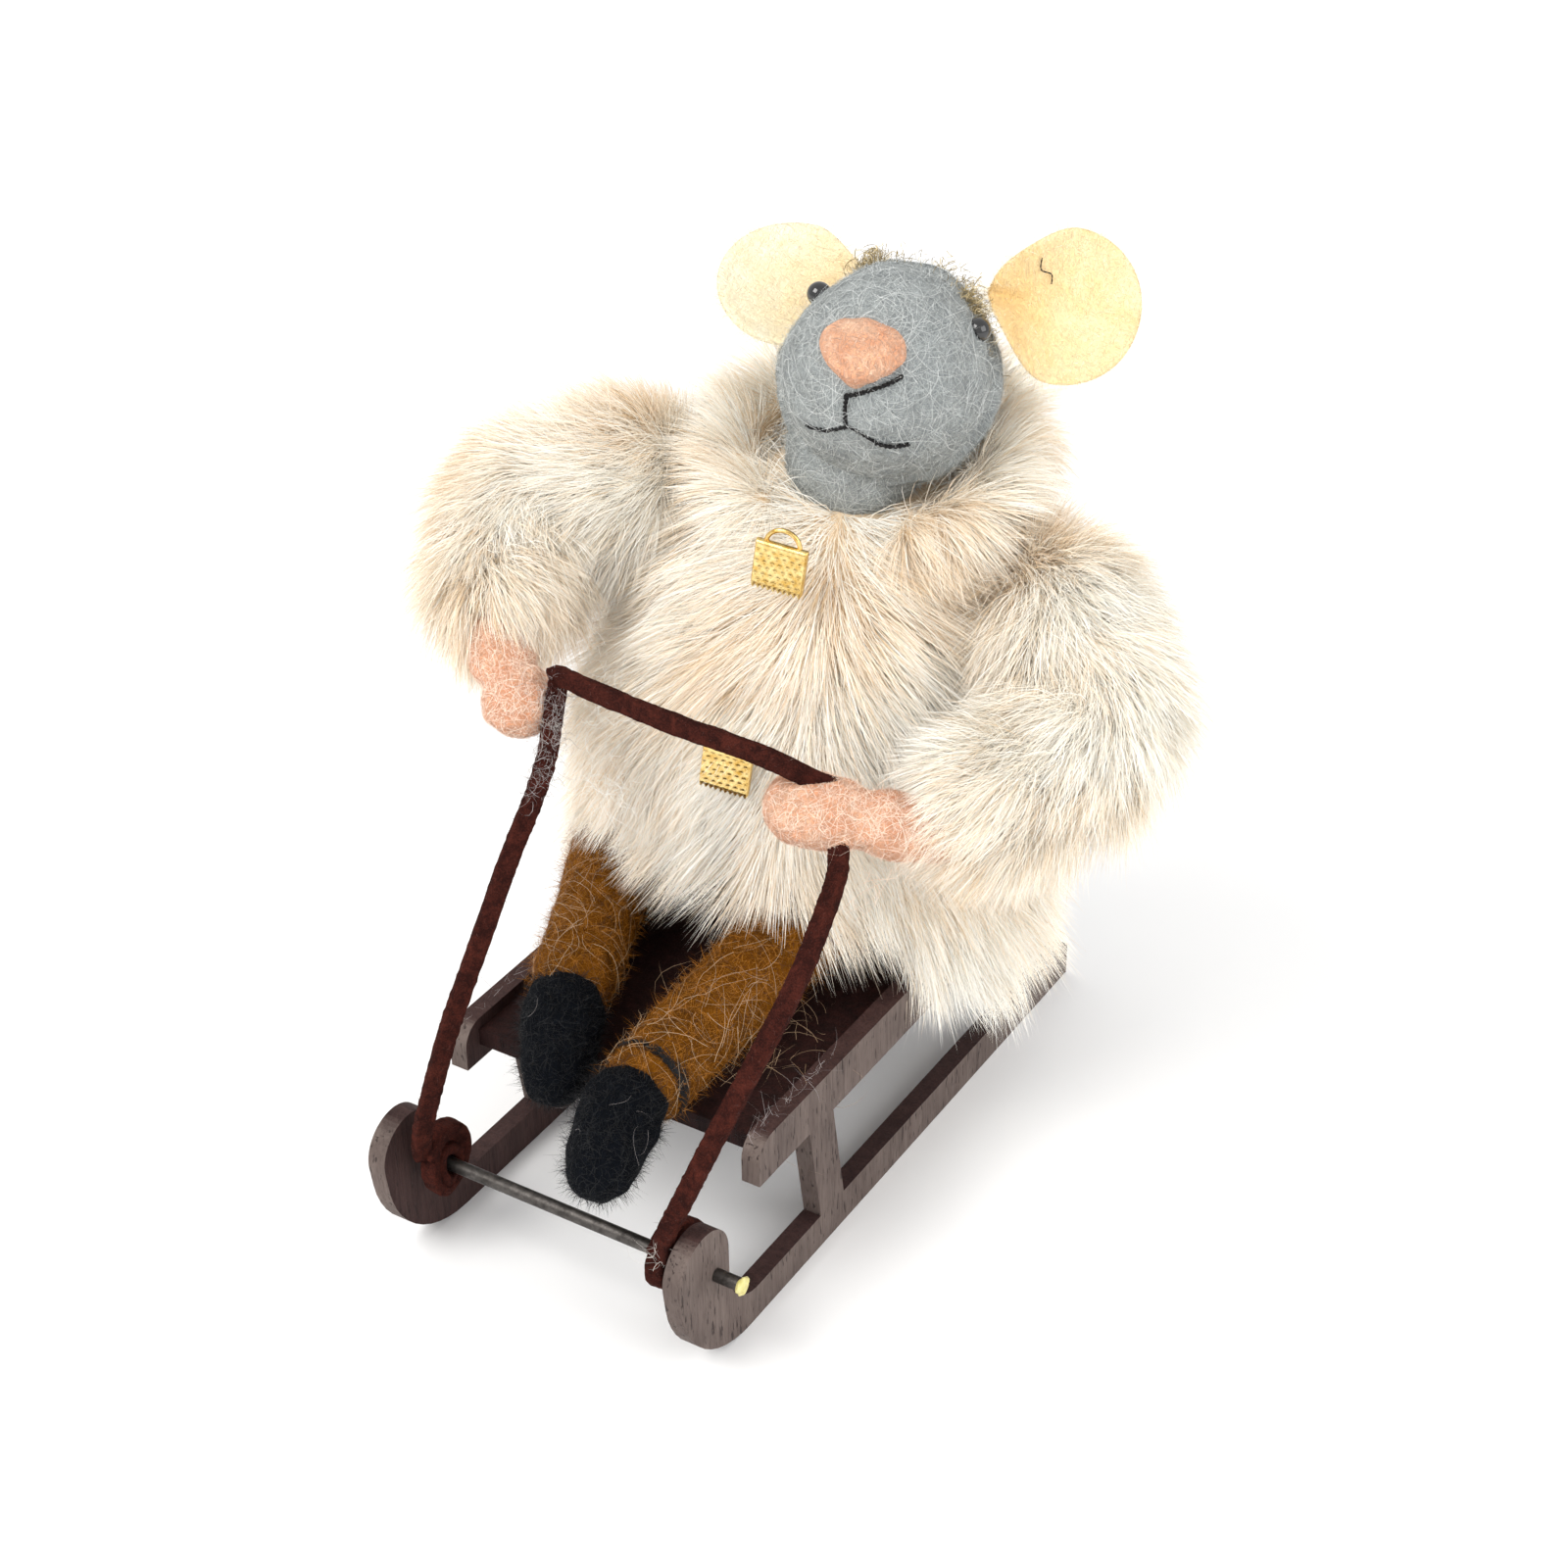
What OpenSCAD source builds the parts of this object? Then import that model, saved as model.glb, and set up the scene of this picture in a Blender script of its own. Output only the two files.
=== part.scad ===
/* [Sledge] */
// Width over the two side boards
sledge_w = 58; // [54:1:64]
// Length of a runner behind the front rod
runner_len = 115; // [110:1:125]
// Thickness of a side board
board_t = 3.2; // [2.8:0.1:3.6]
// Height of the runner strip
runner_h = 6.2; // [5:0.1:7]
// Underside of the top rail
rail_z = 25; // [24:0.5:27]
// Top of the top rail
rail_top = 33; // [32:0.5:34.5]
// Top of the seat board, where the mouse sits
seat_top = 31; // [30:0.5:31.5]
// Thickness of the seat board
seat_t = 3; // [2.5:0.1:3.5]
// Diameter of the front rod
rod_d = 2.2; // [1.8:0.1:2.6]

/* [Mouse] */
// Sideways place of the seat bones
hip_x = -2; // [-6:1:4]
// Distance of the seat bones behind the rod
hip_y = 77; // [74:1:80]
// Lean of the body to its own left, in degrees
lean = 8; // [4:1:10]
// Turn of the body to its own left, in degrees
turn = 12; // [8:1:16]
// Radius of the round of the head
head_r = 17; // [16:0.5:17.5]
// How far the nose stands in front of the middle of the head
snout = 20; // [18:0.5:22]
// Upward tilt of the face, in degrees
face_up = 34; // [28:1:38]
// Radius of an ear
ear_r = 11.5; // [10:0.5:12.5]
// Diameter of a bead eye
eye_d = 3.7; // [3:0.1:4.2]
// Radius of a trouser leg at the ankle
leg_r = 6.3; // [5.8:0.1:6.5]

/* [Armature] */
// Diameter of the wire through the shoulders, the neck and the hips
wire_d = 1.6; // [1.2:0.1:2]
// Gap between a wire and the felt that turns on it
running_gap = 0.05; // [0.03:0.01:0.08]

/* [Reins] */
// Width of the suede lace
lace_w = 3; // [2.6:0.1:3.4]
// Thickness of the suede lace
lace_t = 1.8; // [1.4:0.1:2]

/* [Hidden] */
$fn = 48;
// Facets on the round ends of padded shapes
pad_fn = 28;
clear = 0.3;
half_w = sledge_w / 2;
inner_x = half_w - board_t;

// The rod lies at y = 0 in the sledge's outline
rod_z = 17.3;
rod_stub = 4.5;
curl_low = [9, 18];
curl_low_r = 18;
curl_tip = [-2.9, 20.2];
curl_tip_r = 6.5;
curl_back = curl_tip[0] + curl_tip_r;
// Hollow round where the curl's back meets the top of the runner
curl_hollow = 8;
rail_front = 12.5;
rail_back = 113;
rail_round = 4;
seat_front = 16;
seat_back = 112;
post_w = 7;
post_rake = 3;
front_post_y = 30;
rear_post_y = 94;
batten_w = 8;
batten_t = 3;

// Direction, from either centre, in which one straight line touches both rounds of the curl
curl_gap = curl_low - curl_tip;
curl_angle = 360 + atan2(curl_gap[1], curl_gap[0]) - acos((curl_tip_r - curl_low_r) / norm(curl_gap));

// Hips, shoulders and neck
hip_z = 42.5;
hip_line_y = 68;
leg_x = [11.5, -31];
// Room beside and above each leg, so that it can lift
leg_room_w = 9.5;
leg_room_top = 52.5;
ankle = [[9.6, 5.8, 37.8], [-11.7, 20.2, 37.8]];
toe = [[13.5, -6.8, 35.4], [-4.8, 7.8, 35.6]];
// How much narrower the boot is at the toe than at the ankle
toe_less = 1.7;
hip_r = 7.6;
shoulder_h = 76;
shoulder_f = 4;
shoulder_s = 26;
neck_h = 84.5;
neck_f = 6;
head_s = 2;
head_f = 7;
head_h = 101.5;
head_turn = 2;
head_roll = -4;

// The collar is open in front by an angle of collar_gap
collar_r = 21.5;
collar_thick = 12;
collar_gap = 50;

// Each arm's points in the body's frame: sideways, forwards and up from the seat
elbow = [[44, 20, 63], [-49, 14, 66]];
elbow_r = 14;
cuff_r = 10;
wrist_r = 4.5;
hand_r = 5.6;
cuff = [[29, 42, 52], [-44, 35, 57]];
hand_end = [[10, 48, 52], [-36, 43, 52]];

// The knots sit just inside the curled tips
knot_x = 22.2;
knot_w = 3.4;
knot_r = 5.8;
knot_lift = 1.6;

// Route points of the lace
rein_left_route = [[22.6, -4.6, 21.5], [24, -5.2, 27], [27, -4.2, 35], [30.5, -0.5, 45.5],
    [33.5, 6, 56], [35.2, 14, 65], [35.2, 21, 71.5], [33, 29, 74.3]];
rein_cross_route = [[26.5, 34, 85], [22.5, 29.5, 89.5], [16, 27.5, 91.6], [8, 27, 92.2],
    [-1, 27.6, 92.4], [-9, 28.5, 92.4], [-14.6, 29.4, 92.4]];
rein_right_route = [[-22, -4.6, 21.5], [-21, -5.2, 27], [-19, -4, 36], [-17.5, 0, 46.5],
    [-16.6, 7, 57], [-16.4, 15, 67], [-16, 22, 75], [-16.4, 27.2, 80]];

// The model's origin is under the middle of its box
mid_x = 8;
mid_y = 51.8;
module in_frame() translate([-mid_x, -mid_y, 0]) children();

// ---- helpers ----

function add(a, b) = [for (i = [0:2]) a[i] + b[i]];
function unit(v) = v / norm(v);

// The mouse sits turned and leaning on the seat; sideways is x, forwards is -y
module on_seat() translate([hip_x, hip_y, seat_top]) rotate([0, lean, turn]) children();

// A point given as sideways, forwards, up
module at(p) translate([p[0], -p[1], p[2]]) children();

// A round-ended padded shape between two points of the body's frame
module limb(a, b, ra, rb) hull() {
    at(a) sphere(r = ra, $fn = pad_fn);
    at(b) sphere(r = rb, $fn = pad_fn);
}

// A straight round or tapered bar from one point to another
module bar(a, b, ra, rb) {
    v = b - a;
    translate(a)
        rotate([0, acos(v[2] / norm(v)), atan2(v[1], v[0])])
            cylinder(r1 = ra, r2 = rb, h = norm(v));
}

// The head's frame: the face looks along -y, tilted up
module on_neck() on_seat() at([head_s, head_f, head_h])
    rotate([0, head_roll, head_turn]) rotate([-face_up, 0, 0]) children();

// Distance of the head's surface from its middle, at an angle from the snout's axis
function head_reach(a) =
    let (k = max(0, 1 - a / 75)) head_r + (snout - head_r) * k * k * (3 - 2 * k) - 1.1 * sin(a) * sin(a) * (a < 90 ? 1 : 0);

// A point on the head's surface: angle from the snout, and clock angle (0 is up, 90 is its left)
function on_face(a, c, out = 0) = let (r = head_reach(a) + out) [r * sin(a) * sin(c), -r * cos(a), r * sin(a) * cos(c)];

// ---- the sledge ----

// Points of an arc, every 7.5 degrees at most
function arc(centre, radius, from, to) =
    let (n = ceil(abs(to - from) / 7.5))
    [for (i = [0:n]) let (a = from + (to - from) * i / n) centre + radius * [cos(a), sin(a)]];

// One board, drawn as y and z: runner, rounded front, curled tip, front post, rail, rear post
function board_edge() = concat(
    [[runner_len, 0]],
    arc(curl_low, curl_low_r, 270, curl_angle),
    arc(curl_tip, curl_tip_r, curl_angle, 0),
    arc([curl_back + curl_hollow, runner_h + curl_hollow], curl_hollow, 180, 270),
    [[front_post_y, runner_h], [front_post_y - post_rake, rail_z], [rail_front, rail_z]],
    arc([rail_front + rail_round, rail_top - rail_round], rail_round, 180, 90),
    [[rail_back, rail_top], [rail_back, rail_z], [rear_post_y + post_w - post_rake, rail_z],
        [rear_post_y + post_w, runner_h], [runner_len, runner_h]]);

module board_outline() difference() {
    polygon(board_edge());
    // the window between the two posts
    polygon([[front_post_y + post_w, runner_h], [rear_post_y, runner_h],
        [rear_post_y - post_rake, rail_z], [front_post_y + post_w - post_rake, rail_z]]);
}

module side_board(side) color("#6f605a")
    translate([side > 0 ? inner_x : -half_w, 0, 0])
        difference() {
            rotate([90, 0, 90]) linear_extrude(board_t) board_outline();
            translate([-1, 0, rod_z]) rotate([0, 90, 0]) cylinder(d = rod_d, h = board_t + 2);
        }

module seat_board() color("#3d2522")
    translate([-inner_x, seat_front, seat_top - seat_t])
        cube([2 * inner_x, seat_back - seat_front, seat_t]);

module batten(y) color("#5a4a46")
    translate([-inner_x, y, seat_top - seat_t - batten_t])
        cube([2 * inner_x, batten_w, batten_t]);

module batten_front() batten(front_post_y);
module batten_rear() batten(rear_post_y - post_rake);

module front_rod() color("#5a5856")
    translate([-half_w - rod_stub, 0, rod_z]) rotate([0, 90, 0]) cylinder(d = rod_d, h = sledge_w + 2 * rod_stub);

module rod_glue() color("#d8c98a")
    translate([half_w + rod_stub, 0, rod_z]) rotate([0, 90, 0]) cylinder(d1 = rod_d + 0.3, d2 = rod_d - 0.8, h = 0.9);

// The lace is wound round the rod into a flat disc
module knot(x) color("#4a2a24")
    translate([x - knot_w / 2, 0, rod_z]) rotate([0, 90, 0]) difference() {
        translate([-knot_lift, 0, 0]) cylinder(r = knot_r, h = knot_w);
        translate([0, 0, -1]) cylinder(d = rod_d, h = knot_w + 2);
    }

module knot_left() knot(knot_x);
module knot_right() knot(-knot_x);

// ---- the reins ----

// Smooth curve through the route's points, steps points to each stretch
function spline_point(p, i, u) =
    let (a = p[max(i - 1, 0)], b = p[i], c = p[i + 1], d = p[min(i + 2, len(p) - 1)])
    0.5 * (2 * b + (c - a) * u + (2 * a - 5 * b + 4 * c - d) * u * u + (3 * b - 3 * c + d - a) * u * u * u);
function spline(p, steps) =
    [for (i = [0:len(p) - 2], j = [0:steps - 1]) spline_point(p, i, j / steps), p[len(p) - 1]];

// An eight-sided tube along a path; its width lies across the direction flat_up
module ribbon(path, width, thick, flat_up) {
    n = len(path);
    sides = 8;
    tangent = [for (i = [0:n - 1]) unit(path[min(i + 1, n - 1)] - path[max(i - 1, 0)])];
    points = [for (i = [0:n - 1])
        let (w = unit(cross(tangent[i], flat_up)), h = cross(w, tangent[i]))
        for (k = [0:sides - 1]) let (a = 360 * (k + 0.5) / sides)
            path[i] + w * (width / 2) * cos(a) / cos(22.5) + h * (thick / 2) * sin(a) / cos(22.5)];
    walls = [for (i = [0:n - 2], k = [0:sides - 1])
        let (a = i * sides + k, b = i * sides + (k + 1) % sides)
        [a, b, b + sides, a + sides]];
    ends = [[for (k = [sides - 1:-1:0]) k], [for (k = [0:sides - 1]) (n - 1) * sides + k]];
    polyhedron(points = points, faces = concat(walls, ends));
}

module lace(route) color("#4a2a24") ribbon(spline(route, 3), lace_w, lace_t, [0, -0.6, 0.8]);

module rein_left() lace(rein_left_route);
module rein_cross() lace(rein_cross_route);
module rein_right() lace(rein_right_route);

// ---- the body ----

// Wires, with room round them where felt turns on them
module shoulder_bar(gap = 0, longer = 0) at([0, shoulder_f, shoulder_h]) rotate([0, 90, 0])
    cylinder(d = wire_d + 2 * gap, h = 2 * (shoulder_s + 9 + longer), center = true);

module neck_bar(gap = 0, longer = 0) at([0, neck_f, neck_h - 12])
    cylinder(d = wire_d + 2 * gap, h = 24 + longer);

module hip_bar(gap = 0) translate([leg_x[1] - 9, hip_line_y, hip_z]) rotate([0, 90, 0])
    cylinder(d = wire_d + 2 * gap, h = leg_x[0] - leg_x[1] + 18);

module shoulder_wire() color("#8d8d8a") on_seat() shoulder_bar();
module neck_wire() color("#8d8d8a") on_seat() neck_bar();
module hip_wire() color("#8d8d8a") hip_bar();

// Room for the legs to lift under the coat's hem
module leg_room() for (i = [0, 1]) {
    // the leg runs in towards the middle, so its room is wider on that side
    near = min(leg_x[i], ankle[i][0] + 2) - leg_room_w;
    far = max(leg_x[i], ankle[i][0] - 2) + leg_room_w;
    translate([near, 0, 10]) cube([far - near, hip_line_y, leg_room_top - 10]);
    translate([leg_x[i] - leg_room_w, hip_line_y, hip_z]) rotate([0, 90, 0])
        cylinder(r = leg_room_w, h = 2 * leg_room_w);
}

module torso_shape(gap = 0) hull() {
    at([0, -2, 27]) sphere(r = 19 + gap, $fn = pad_fn);
    at([0, neck_f, neck_h - 12]) cylinder(r = 8 + gap, h = 11.5, $fn = pad_fn);
    at([0, 0, 0]) cylinder(r = 15 + gap, h = 4, $fn = pad_fn);
}

module torso() color("#a9a39b") difference() {
    on_seat() difference() {
        torso_shape();
        shoulder_bar();
        neck_bar();
    }
    // flat where it is glued to the seat
    translate([-50, 20, seat_top - 20]) cube([100, 100, 20]);
    hip_bar();
    leg_room();
}

// The coat wraps the torso, from the collar to below the rails
module coat_body() color("#ecd9c3") difference() {
    on_seat() difference() {
        hull() {
            at([0, -1, -1]) scale([1.25, 0.98, 0.3]) sphere(r = 32, $fn = 40);
            at([0, 0, 16]) scale([1.25, 1, 0.8]) sphere(r = 32, $fn = 40);
            at([0, 2, 46]) scale([0.86, 1, 0.9]) sphere(r = 31, $fn = 40);
            at([0, 3, 66]) scale([1, 1, 0.8]) sphere(r = 28, $fn = 40);
        }
        // flat armholes that the sleeves turn against
        for (side = [-1, 1])
            translate([side > 0 ? shoulder_s : -shoulder_s - 40, -70, 44]) cube([40, 140, 60]);
        // neck opening
        translate([-50, -50, neck_h - 0.5]) cube([100, 100, 30]);
        torso_shape(clear);
        shoulder_bar(0.1, 5);
    }
    // the seat and the rails
    translate([-half_w - clear, -5, 0]) cube([sledge_w + 2 * clear, 125, rail_top + clear]);
    translate([-60, -40, -10]) cube([120, 180, 28]);
    leg_room();
    hip_bar(clear);
}

module coat_collar() color("#f4ead9") difference() {
    on_seat() at([0, neck_f - 3, neck_h]) rotate([12, 0, collar_gap / 2 - 90])
        rotate_extrude(angle = 360 - collar_gap) translate([collar_r, 0]) circle(r = collar_thick / 2);
    on_seat() for (side = [-1, 1])
        translate([side > 0 ? shoulder_s : -shoulder_s - 40, -70, 44]) cube([40, 140, 60]);
    on_seat() shoulder_bar(clear, 5);
    // room for the head to turn
    on_neck() sphere(r = head_r + 1.3);
}

module sleeve(i, side) color("#f1e2cd") on_seat() difference() {
    union() {
        intersection() {
            limb([side * shoulder_s, shoulder_f, shoulder_h - 1], elbow[i], elbow_r, elbow_r);
            translate([side > 0 ? shoulder_s + clear : -shoulder_s - clear - 60, -70, 0]) cube([60, 140, 120]);
        }
        limb(elbow[i], cuff[i], elbow_r, cuff_r);
    }
    shoulder_bar(running_gap, 1);
    // the wrist fills the cuff
    limb(cuff[i], hand_end[i], wrist_r, hand_r);
}

module sleeve_left() sleeve(0, 1);
module sleeve_right() sleeve(1, -1);

module hand(i) color("#f3c5a6") on_seat() limb(cuff[i], hand_end[i], wrist_r, hand_r);

module hand_left() hand(0);
module hand_right() hand(1);

module leg(i) color("#a2701f") {
    hip = [leg_x[i], hip_line_y, hip_z];
    difference() {
        union() {
            bar(hip, ankle[i], hip_r - 0.1, leg_r);
            translate(hip) sphere(r = hip_r);
        }
        hip_bar(running_gap);
    }
}

module leg_left() leg(0);
module leg_right() leg(1);

// The boot is wound on in line with the leg and points in at the toe
module boot(i) color("#1b2028") difference() {
    hull() {
        translate(ankle[i]) sphere(r = leg_r, $fn = pad_fn);
        translate(toe[i]) sphere(r = leg_r - toe_less, $fn = pad_fn);
    }
    // cut square where the trouser leg ends
    v = unit([leg_x[i], hip_line_y, hip_z] - ankle[i]);
    translate(ankle[i]) rotate([0, acos(v[2]), atan2(v[1], v[0])]) cylinder(r = 20, h = 20);
}

module boot_left() boot(0);
module boot_right() boot(1);

// ---- the head ----

module head() color("#8f9494") difference() {
    union() {
        on_neck() rotate([90, 0, 0]) rotate_extrude()
            polygon([for (a = [0:6:180]) [head_reach(a) * sin(a), head_reach(a) * cos(a)]]);
        on_seat() at([0, neck_f, neck_h]) cylinder(r1 = 10, r2 = 12, h = 12);
    }
    on_seat() neck_bar(running_gap, 1);
}

module nose() color("#eeb79b") on_neck() translate([0, -snout + 1.2, -0.6])
    scale([6.2, 3.4, 5.2]) sphere(r = 1, $fn = 36);

thread_d = 0.9;
smile_angle = 40;
eye_angle = 72;
eye_clock = 60;

module eye(side) color("#0c0c0e")
    on_neck() translate(on_face(eye_angle, side * eye_clock, 0.5)) sphere(d = eye_d, $fn = 32);

module eye_left() eye(1);
module eye_right() eye(-1);

// Black thread: one stitch down from the nose and a smile of short stitches
module mouth_thread() color("#121212") on_neck() {
    line = [for (a = [-42:7:42]) on_face(smile_angle + abs(a) * 0.1, 180 + a)];
    drop = [for (a = [smile_angle - 20:4:smile_angle]) on_face(a, 180)];
    ribbon(line, thread_d, thread_d, [0, -1, 0]);
    ribbon(drop, thread_d, thread_d, [1, 0, 0]);
}

// The left ear stands up, and the right ear lies further back
ear_place = [[22.5, 5, 15], [-18, 5, 11]];
ear_turn = [[8, 0, 22], [-28, 0, 6]];
// A felt disc, dished forwards
module ear(i) color("#fdeec4") on_neck()
    translate(ear_place[i]) rotate(ear_turn[i]) rotate([90, 0, 0])
        translate([0, 0, 22]) intersection() {
            difference() {
                sphere(r = 24);
                sphere(r = 22.4);
            }
            translate([0, 0, -30]) cylinder(r = ear_r, h = 20);
        }

module ear_left() ear(0);
module ear_right() ear(1);

module hair_tuft() color("#b09a6c") on_neck() translate([0, 5, 6]) rotate([70, 0, 0])
    rotate([0, 0, 35]) rotate_extrude(angle = 110) translate([11, 0]) circle(r = 2.6);

// ---- the clasps on the coat's front edge ----

clasp_w = 8;
clasp_h = 7;
clasp_t = 1.5;

module clasp(p) color("#d9a62e") on_seat() at(p) {
    translate([-clasp_w / 2, -clasp_t, -clasp_h]) cube([clasp_w, clasp_t, clasp_h]);
    // the rolled top edge that the clasp swings on
    translate([0, -clasp_t / 2, 0]) rotate([0, 90, 0]) cylinder(d = clasp_t, h = clasp_w, center = true);
    rotate([90, 0, 0]) intersection() {
        difference() {
            cylinder(r = 3, h = 0.8);
            translate([0, 0, -1]) cylinder(r = 2.3, h = 3);
        }
        translate([-5, -0.5, -1]) cube([10, 10, 4]);
    }
}

module clasp_upper() clasp([-3, 32, 83]);
module clasp_lower() clasp([-6, 35.5, 48]);

in_frame() side_board(1);  // side_board_left
in_frame() side_board(-1);  // side_board_right
in_frame() seat_board();
in_frame() batten_front();
in_frame() batten_rear();
in_frame() front_rod();
in_frame() rod_glue();
in_frame() knot_left();
in_frame() knot_right();
in_frame() rein_left();
in_frame() rein_cross();
in_frame() rein_right();
in_frame() torso();
in_frame() coat_body();
in_frame() coat_collar();
in_frame() sleeve_left();
in_frame() sleeve_right();
in_frame() hand_left();
in_frame() hand_right();
in_frame() leg_left();
in_frame() leg_right();
in_frame() boot_left();
in_frame() boot_right();
in_frame() head();
in_frame() nose();
in_frame() eye_left();
in_frame() eye_right();
in_frame() mouth_thread();
in_frame() ear_left();
in_frame() ear_right();
in_frame() hair_tuft();
in_frame() clasp_upper();
in_frame() clasp_lower();
in_frame() shoulder_wire();
in_frame() neck_wire();
in_frame() hip_wire();
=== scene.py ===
"""A felt mouse in a fur coat on a small wooden sledge. Lengths are in millimetres until a mesh is made, where
they become metres."""

import math

import bpy
import numpy as np
from mathutils import Matrix


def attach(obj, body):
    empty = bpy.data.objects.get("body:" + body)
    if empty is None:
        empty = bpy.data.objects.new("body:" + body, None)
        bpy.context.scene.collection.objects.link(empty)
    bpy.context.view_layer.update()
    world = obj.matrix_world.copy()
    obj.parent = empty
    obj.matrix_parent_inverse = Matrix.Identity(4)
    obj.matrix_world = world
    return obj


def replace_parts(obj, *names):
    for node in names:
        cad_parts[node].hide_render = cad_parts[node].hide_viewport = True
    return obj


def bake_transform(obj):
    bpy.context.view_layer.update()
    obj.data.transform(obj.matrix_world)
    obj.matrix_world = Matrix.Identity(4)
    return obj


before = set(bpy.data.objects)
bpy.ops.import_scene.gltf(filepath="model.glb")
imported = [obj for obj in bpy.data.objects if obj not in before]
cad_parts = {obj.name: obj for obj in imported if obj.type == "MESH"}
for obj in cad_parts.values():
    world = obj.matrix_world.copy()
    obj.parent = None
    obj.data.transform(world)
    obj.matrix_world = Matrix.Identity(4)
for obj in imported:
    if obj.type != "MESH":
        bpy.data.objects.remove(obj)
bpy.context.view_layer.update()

MM = 0.001

# ---------------------------------------------------------------- places


def turned(x, y, z):
    """The matrix that turns about x, then y, then z, in degrees."""
    cx, sx, cy, sy, cz, sz = (f(math.radians(a)) for a in (x, y, z) for f in (math.cos, math.sin))
    about_x = np.array([[1, 0, 0], [0, cx, -sx], [0, sx, cx]])
    about_y = np.array([[cy, 0, sy], [0, 1, 0], [-sy, 0, cy]])
    about_z = np.array([[cz, -sz, 0], [sz, cz, 0], [0, 0, 1]])
    return about_z @ about_y @ about_x


SLEDGE_MIDDLE = np.array([8, 51.8, 0])  # from the rod's middle on the ground to the frame's origin
SEAT_TURN = turned(0, 8, 12)
SEAT_PLACE = np.array([-2, 77, 31]) - SLEDGE_MIDDLE
HEAD_TURN = SEAT_TURN @ turned(0, -4, 2) @ turned(-34, 0, 0)


def on_sledge(p):
    """Points given from the rod's middle on the ground."""
    return np.asarray(p, float) - SLEDGE_MIDDLE


def on_seat(p):
    """Points given from the mouse's seat: to its left, backwards and up its leaning body."""
    return np.asarray(p, float) @ SEAT_TURN.T + SEAT_PLACE


HEAD_PLACE = on_seat([2, -7, 101.5])


def on_head(p):
    """Points given from the middle of the head, which looks along -y."""
    return np.asarray(p, float) @ HEAD_TURN.T + HEAD_PLACE


# ---------------------------------------------------------------- numbers and curves


def unit(v):
    """Each vector at length 1."""
    return v / np.maximum(np.linalg.norm(v, axis=-1, keepdims=True), 1e-9)


def smooth(x, low, high):
    """0 below low, 1 above high, and an s-curve between them."""
    t = np.clip((x - low) / (high - low), 0, 1)
    return t * t * (3 - 2 * t)


def spline(points, steps):
    """Catmull-Rom curve through the points, with that many steps to each stretch."""
    p = np.asarray(points, float)
    p = np.vstack([p[:1], p, p[-1:]])
    u = np.arange(steps)[:, None] / steps
    parts = [
        0.5 * (2 * b + (c - a) * u + (2 * a - 5 * b + 4 * c - d) * u**2 + (3 * b - 3 * c + d - a) * u**3)
        for a, b, c, d in zip(p[:-3], p[1:-2], p[2:-1], p[3:])
    ]
    return np.vstack([*parts, p[-2:-1]])


def frames_along(path):
    """For each point of a path, its tangent and two directions across it that turn as little as they can."""
    tangent = unit(np.gradient(path, axis=0))
    across = np.empty_like(path)
    first = np.cross(tangent[0], [0.0, 0.0, 1.0])
    across[0] = unit(first if np.linalg.norm(first) > 0.1 else np.cross(tangent[0], [1.0, 0.0, 0.0]))
    for i in range(1, len(path)):
        across[i] = unit(across[i - 1] - tangent[i] * (across[i - 1] @ tangent[i]))
    return tangent, across, np.cross(tangent, across)


def noise(p, size, seed=0):
    """Smooth waves in three directions summed at four turned angles, about -1 to 1, that repeat every few
    sizes."""
    rng = np.random.default_rng(seed)
    total = np.zeros(p.shape[:-1])
    for k in range(6):
        way = unit(rng.normal(size=3)) * (2 * math.pi / size) * (0.7 + 0.25 * k)
        total = total + np.sin(p @ way + rng.uniform(0, 6.28))
    return total / 2.6


# ---------------------------------------------------------------- meshes


def finish_piece(obj, material, body, parent=None):
    """Gives a piece its material and its body."""
    if not obj.data.materials:
        obj.data.materials.append(material)
    if parent is not None:
        obj.parent = parent
    elif body is not None:
        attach(obj, body)
    return obj


def add_mesh(name, points, faces, shade_smooth=True):
    """An object at the origin from points in millimetres and lists of faces with the same number of corners
    each."""
    faces = [np.asarray(f, np.int32) for f in faces if len(f)]
    corners = np.concatenate([f.ravel() for f in faces])
    sizes = np.concatenate([np.full(len(f), f.shape[1]) for f in faces])
    starts = np.concatenate([[0], np.cumsum(sizes)[:-1]])
    mesh = bpy.data.meshes.new(name)
    mesh.vertices.add(len(points))
    mesh.vertices.foreach_set("co", (np.asarray(points) * MM).astype(np.float32).ravel())
    mesh.loops.add(len(corners))
    mesh.loops.foreach_set("vertex_index", corners.astype(np.int32))
    mesh.polygons.add(len(sizes))
    mesh.polygons.foreach_set("loop_start", starts.astype(np.int32))
    mesh.polygons.foreach_set("use_smooth", np.full(len(sizes), shade_smooth))
    mesh.update(calc_edges=True)
    mesh.validate()
    obj = bpy.data.objects.new(name, mesh)
    bpy.context.scene.collection.objects.link(obj)
    return obj


def ring_faces(rings, around, start=0):
    """Quads between rings of points, each closed round."""
    i = np.arange(rings - 1)[:, None] * around
    j = np.arange(around)[None, :]
    k = (j + 1) % around
    return np.stack([i + j, i + k, i + k + around, i + j + around], -1).reshape(-1, 4) + start


def capped_tube(grid):
    """Points and faces of a closed tube from a grid of rings: both ends are closed to the middle of their
    ring."""
    rings, around = grid.shape[:2]
    points = np.vstack([grid.reshape(-1, 3), grid[0].mean(0), grid[-1].mean(0)])
    j = np.arange(around)
    k = (j + 1) % around
    n = rings * around
    first = np.stack([np.full(around, n), k, j], -1)
    last = np.stack([np.full(around, n + 1), j + n - around, k + n - around], -1)
    return points, [ring_faces(rings, around), np.vstack([first, last])]


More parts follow.
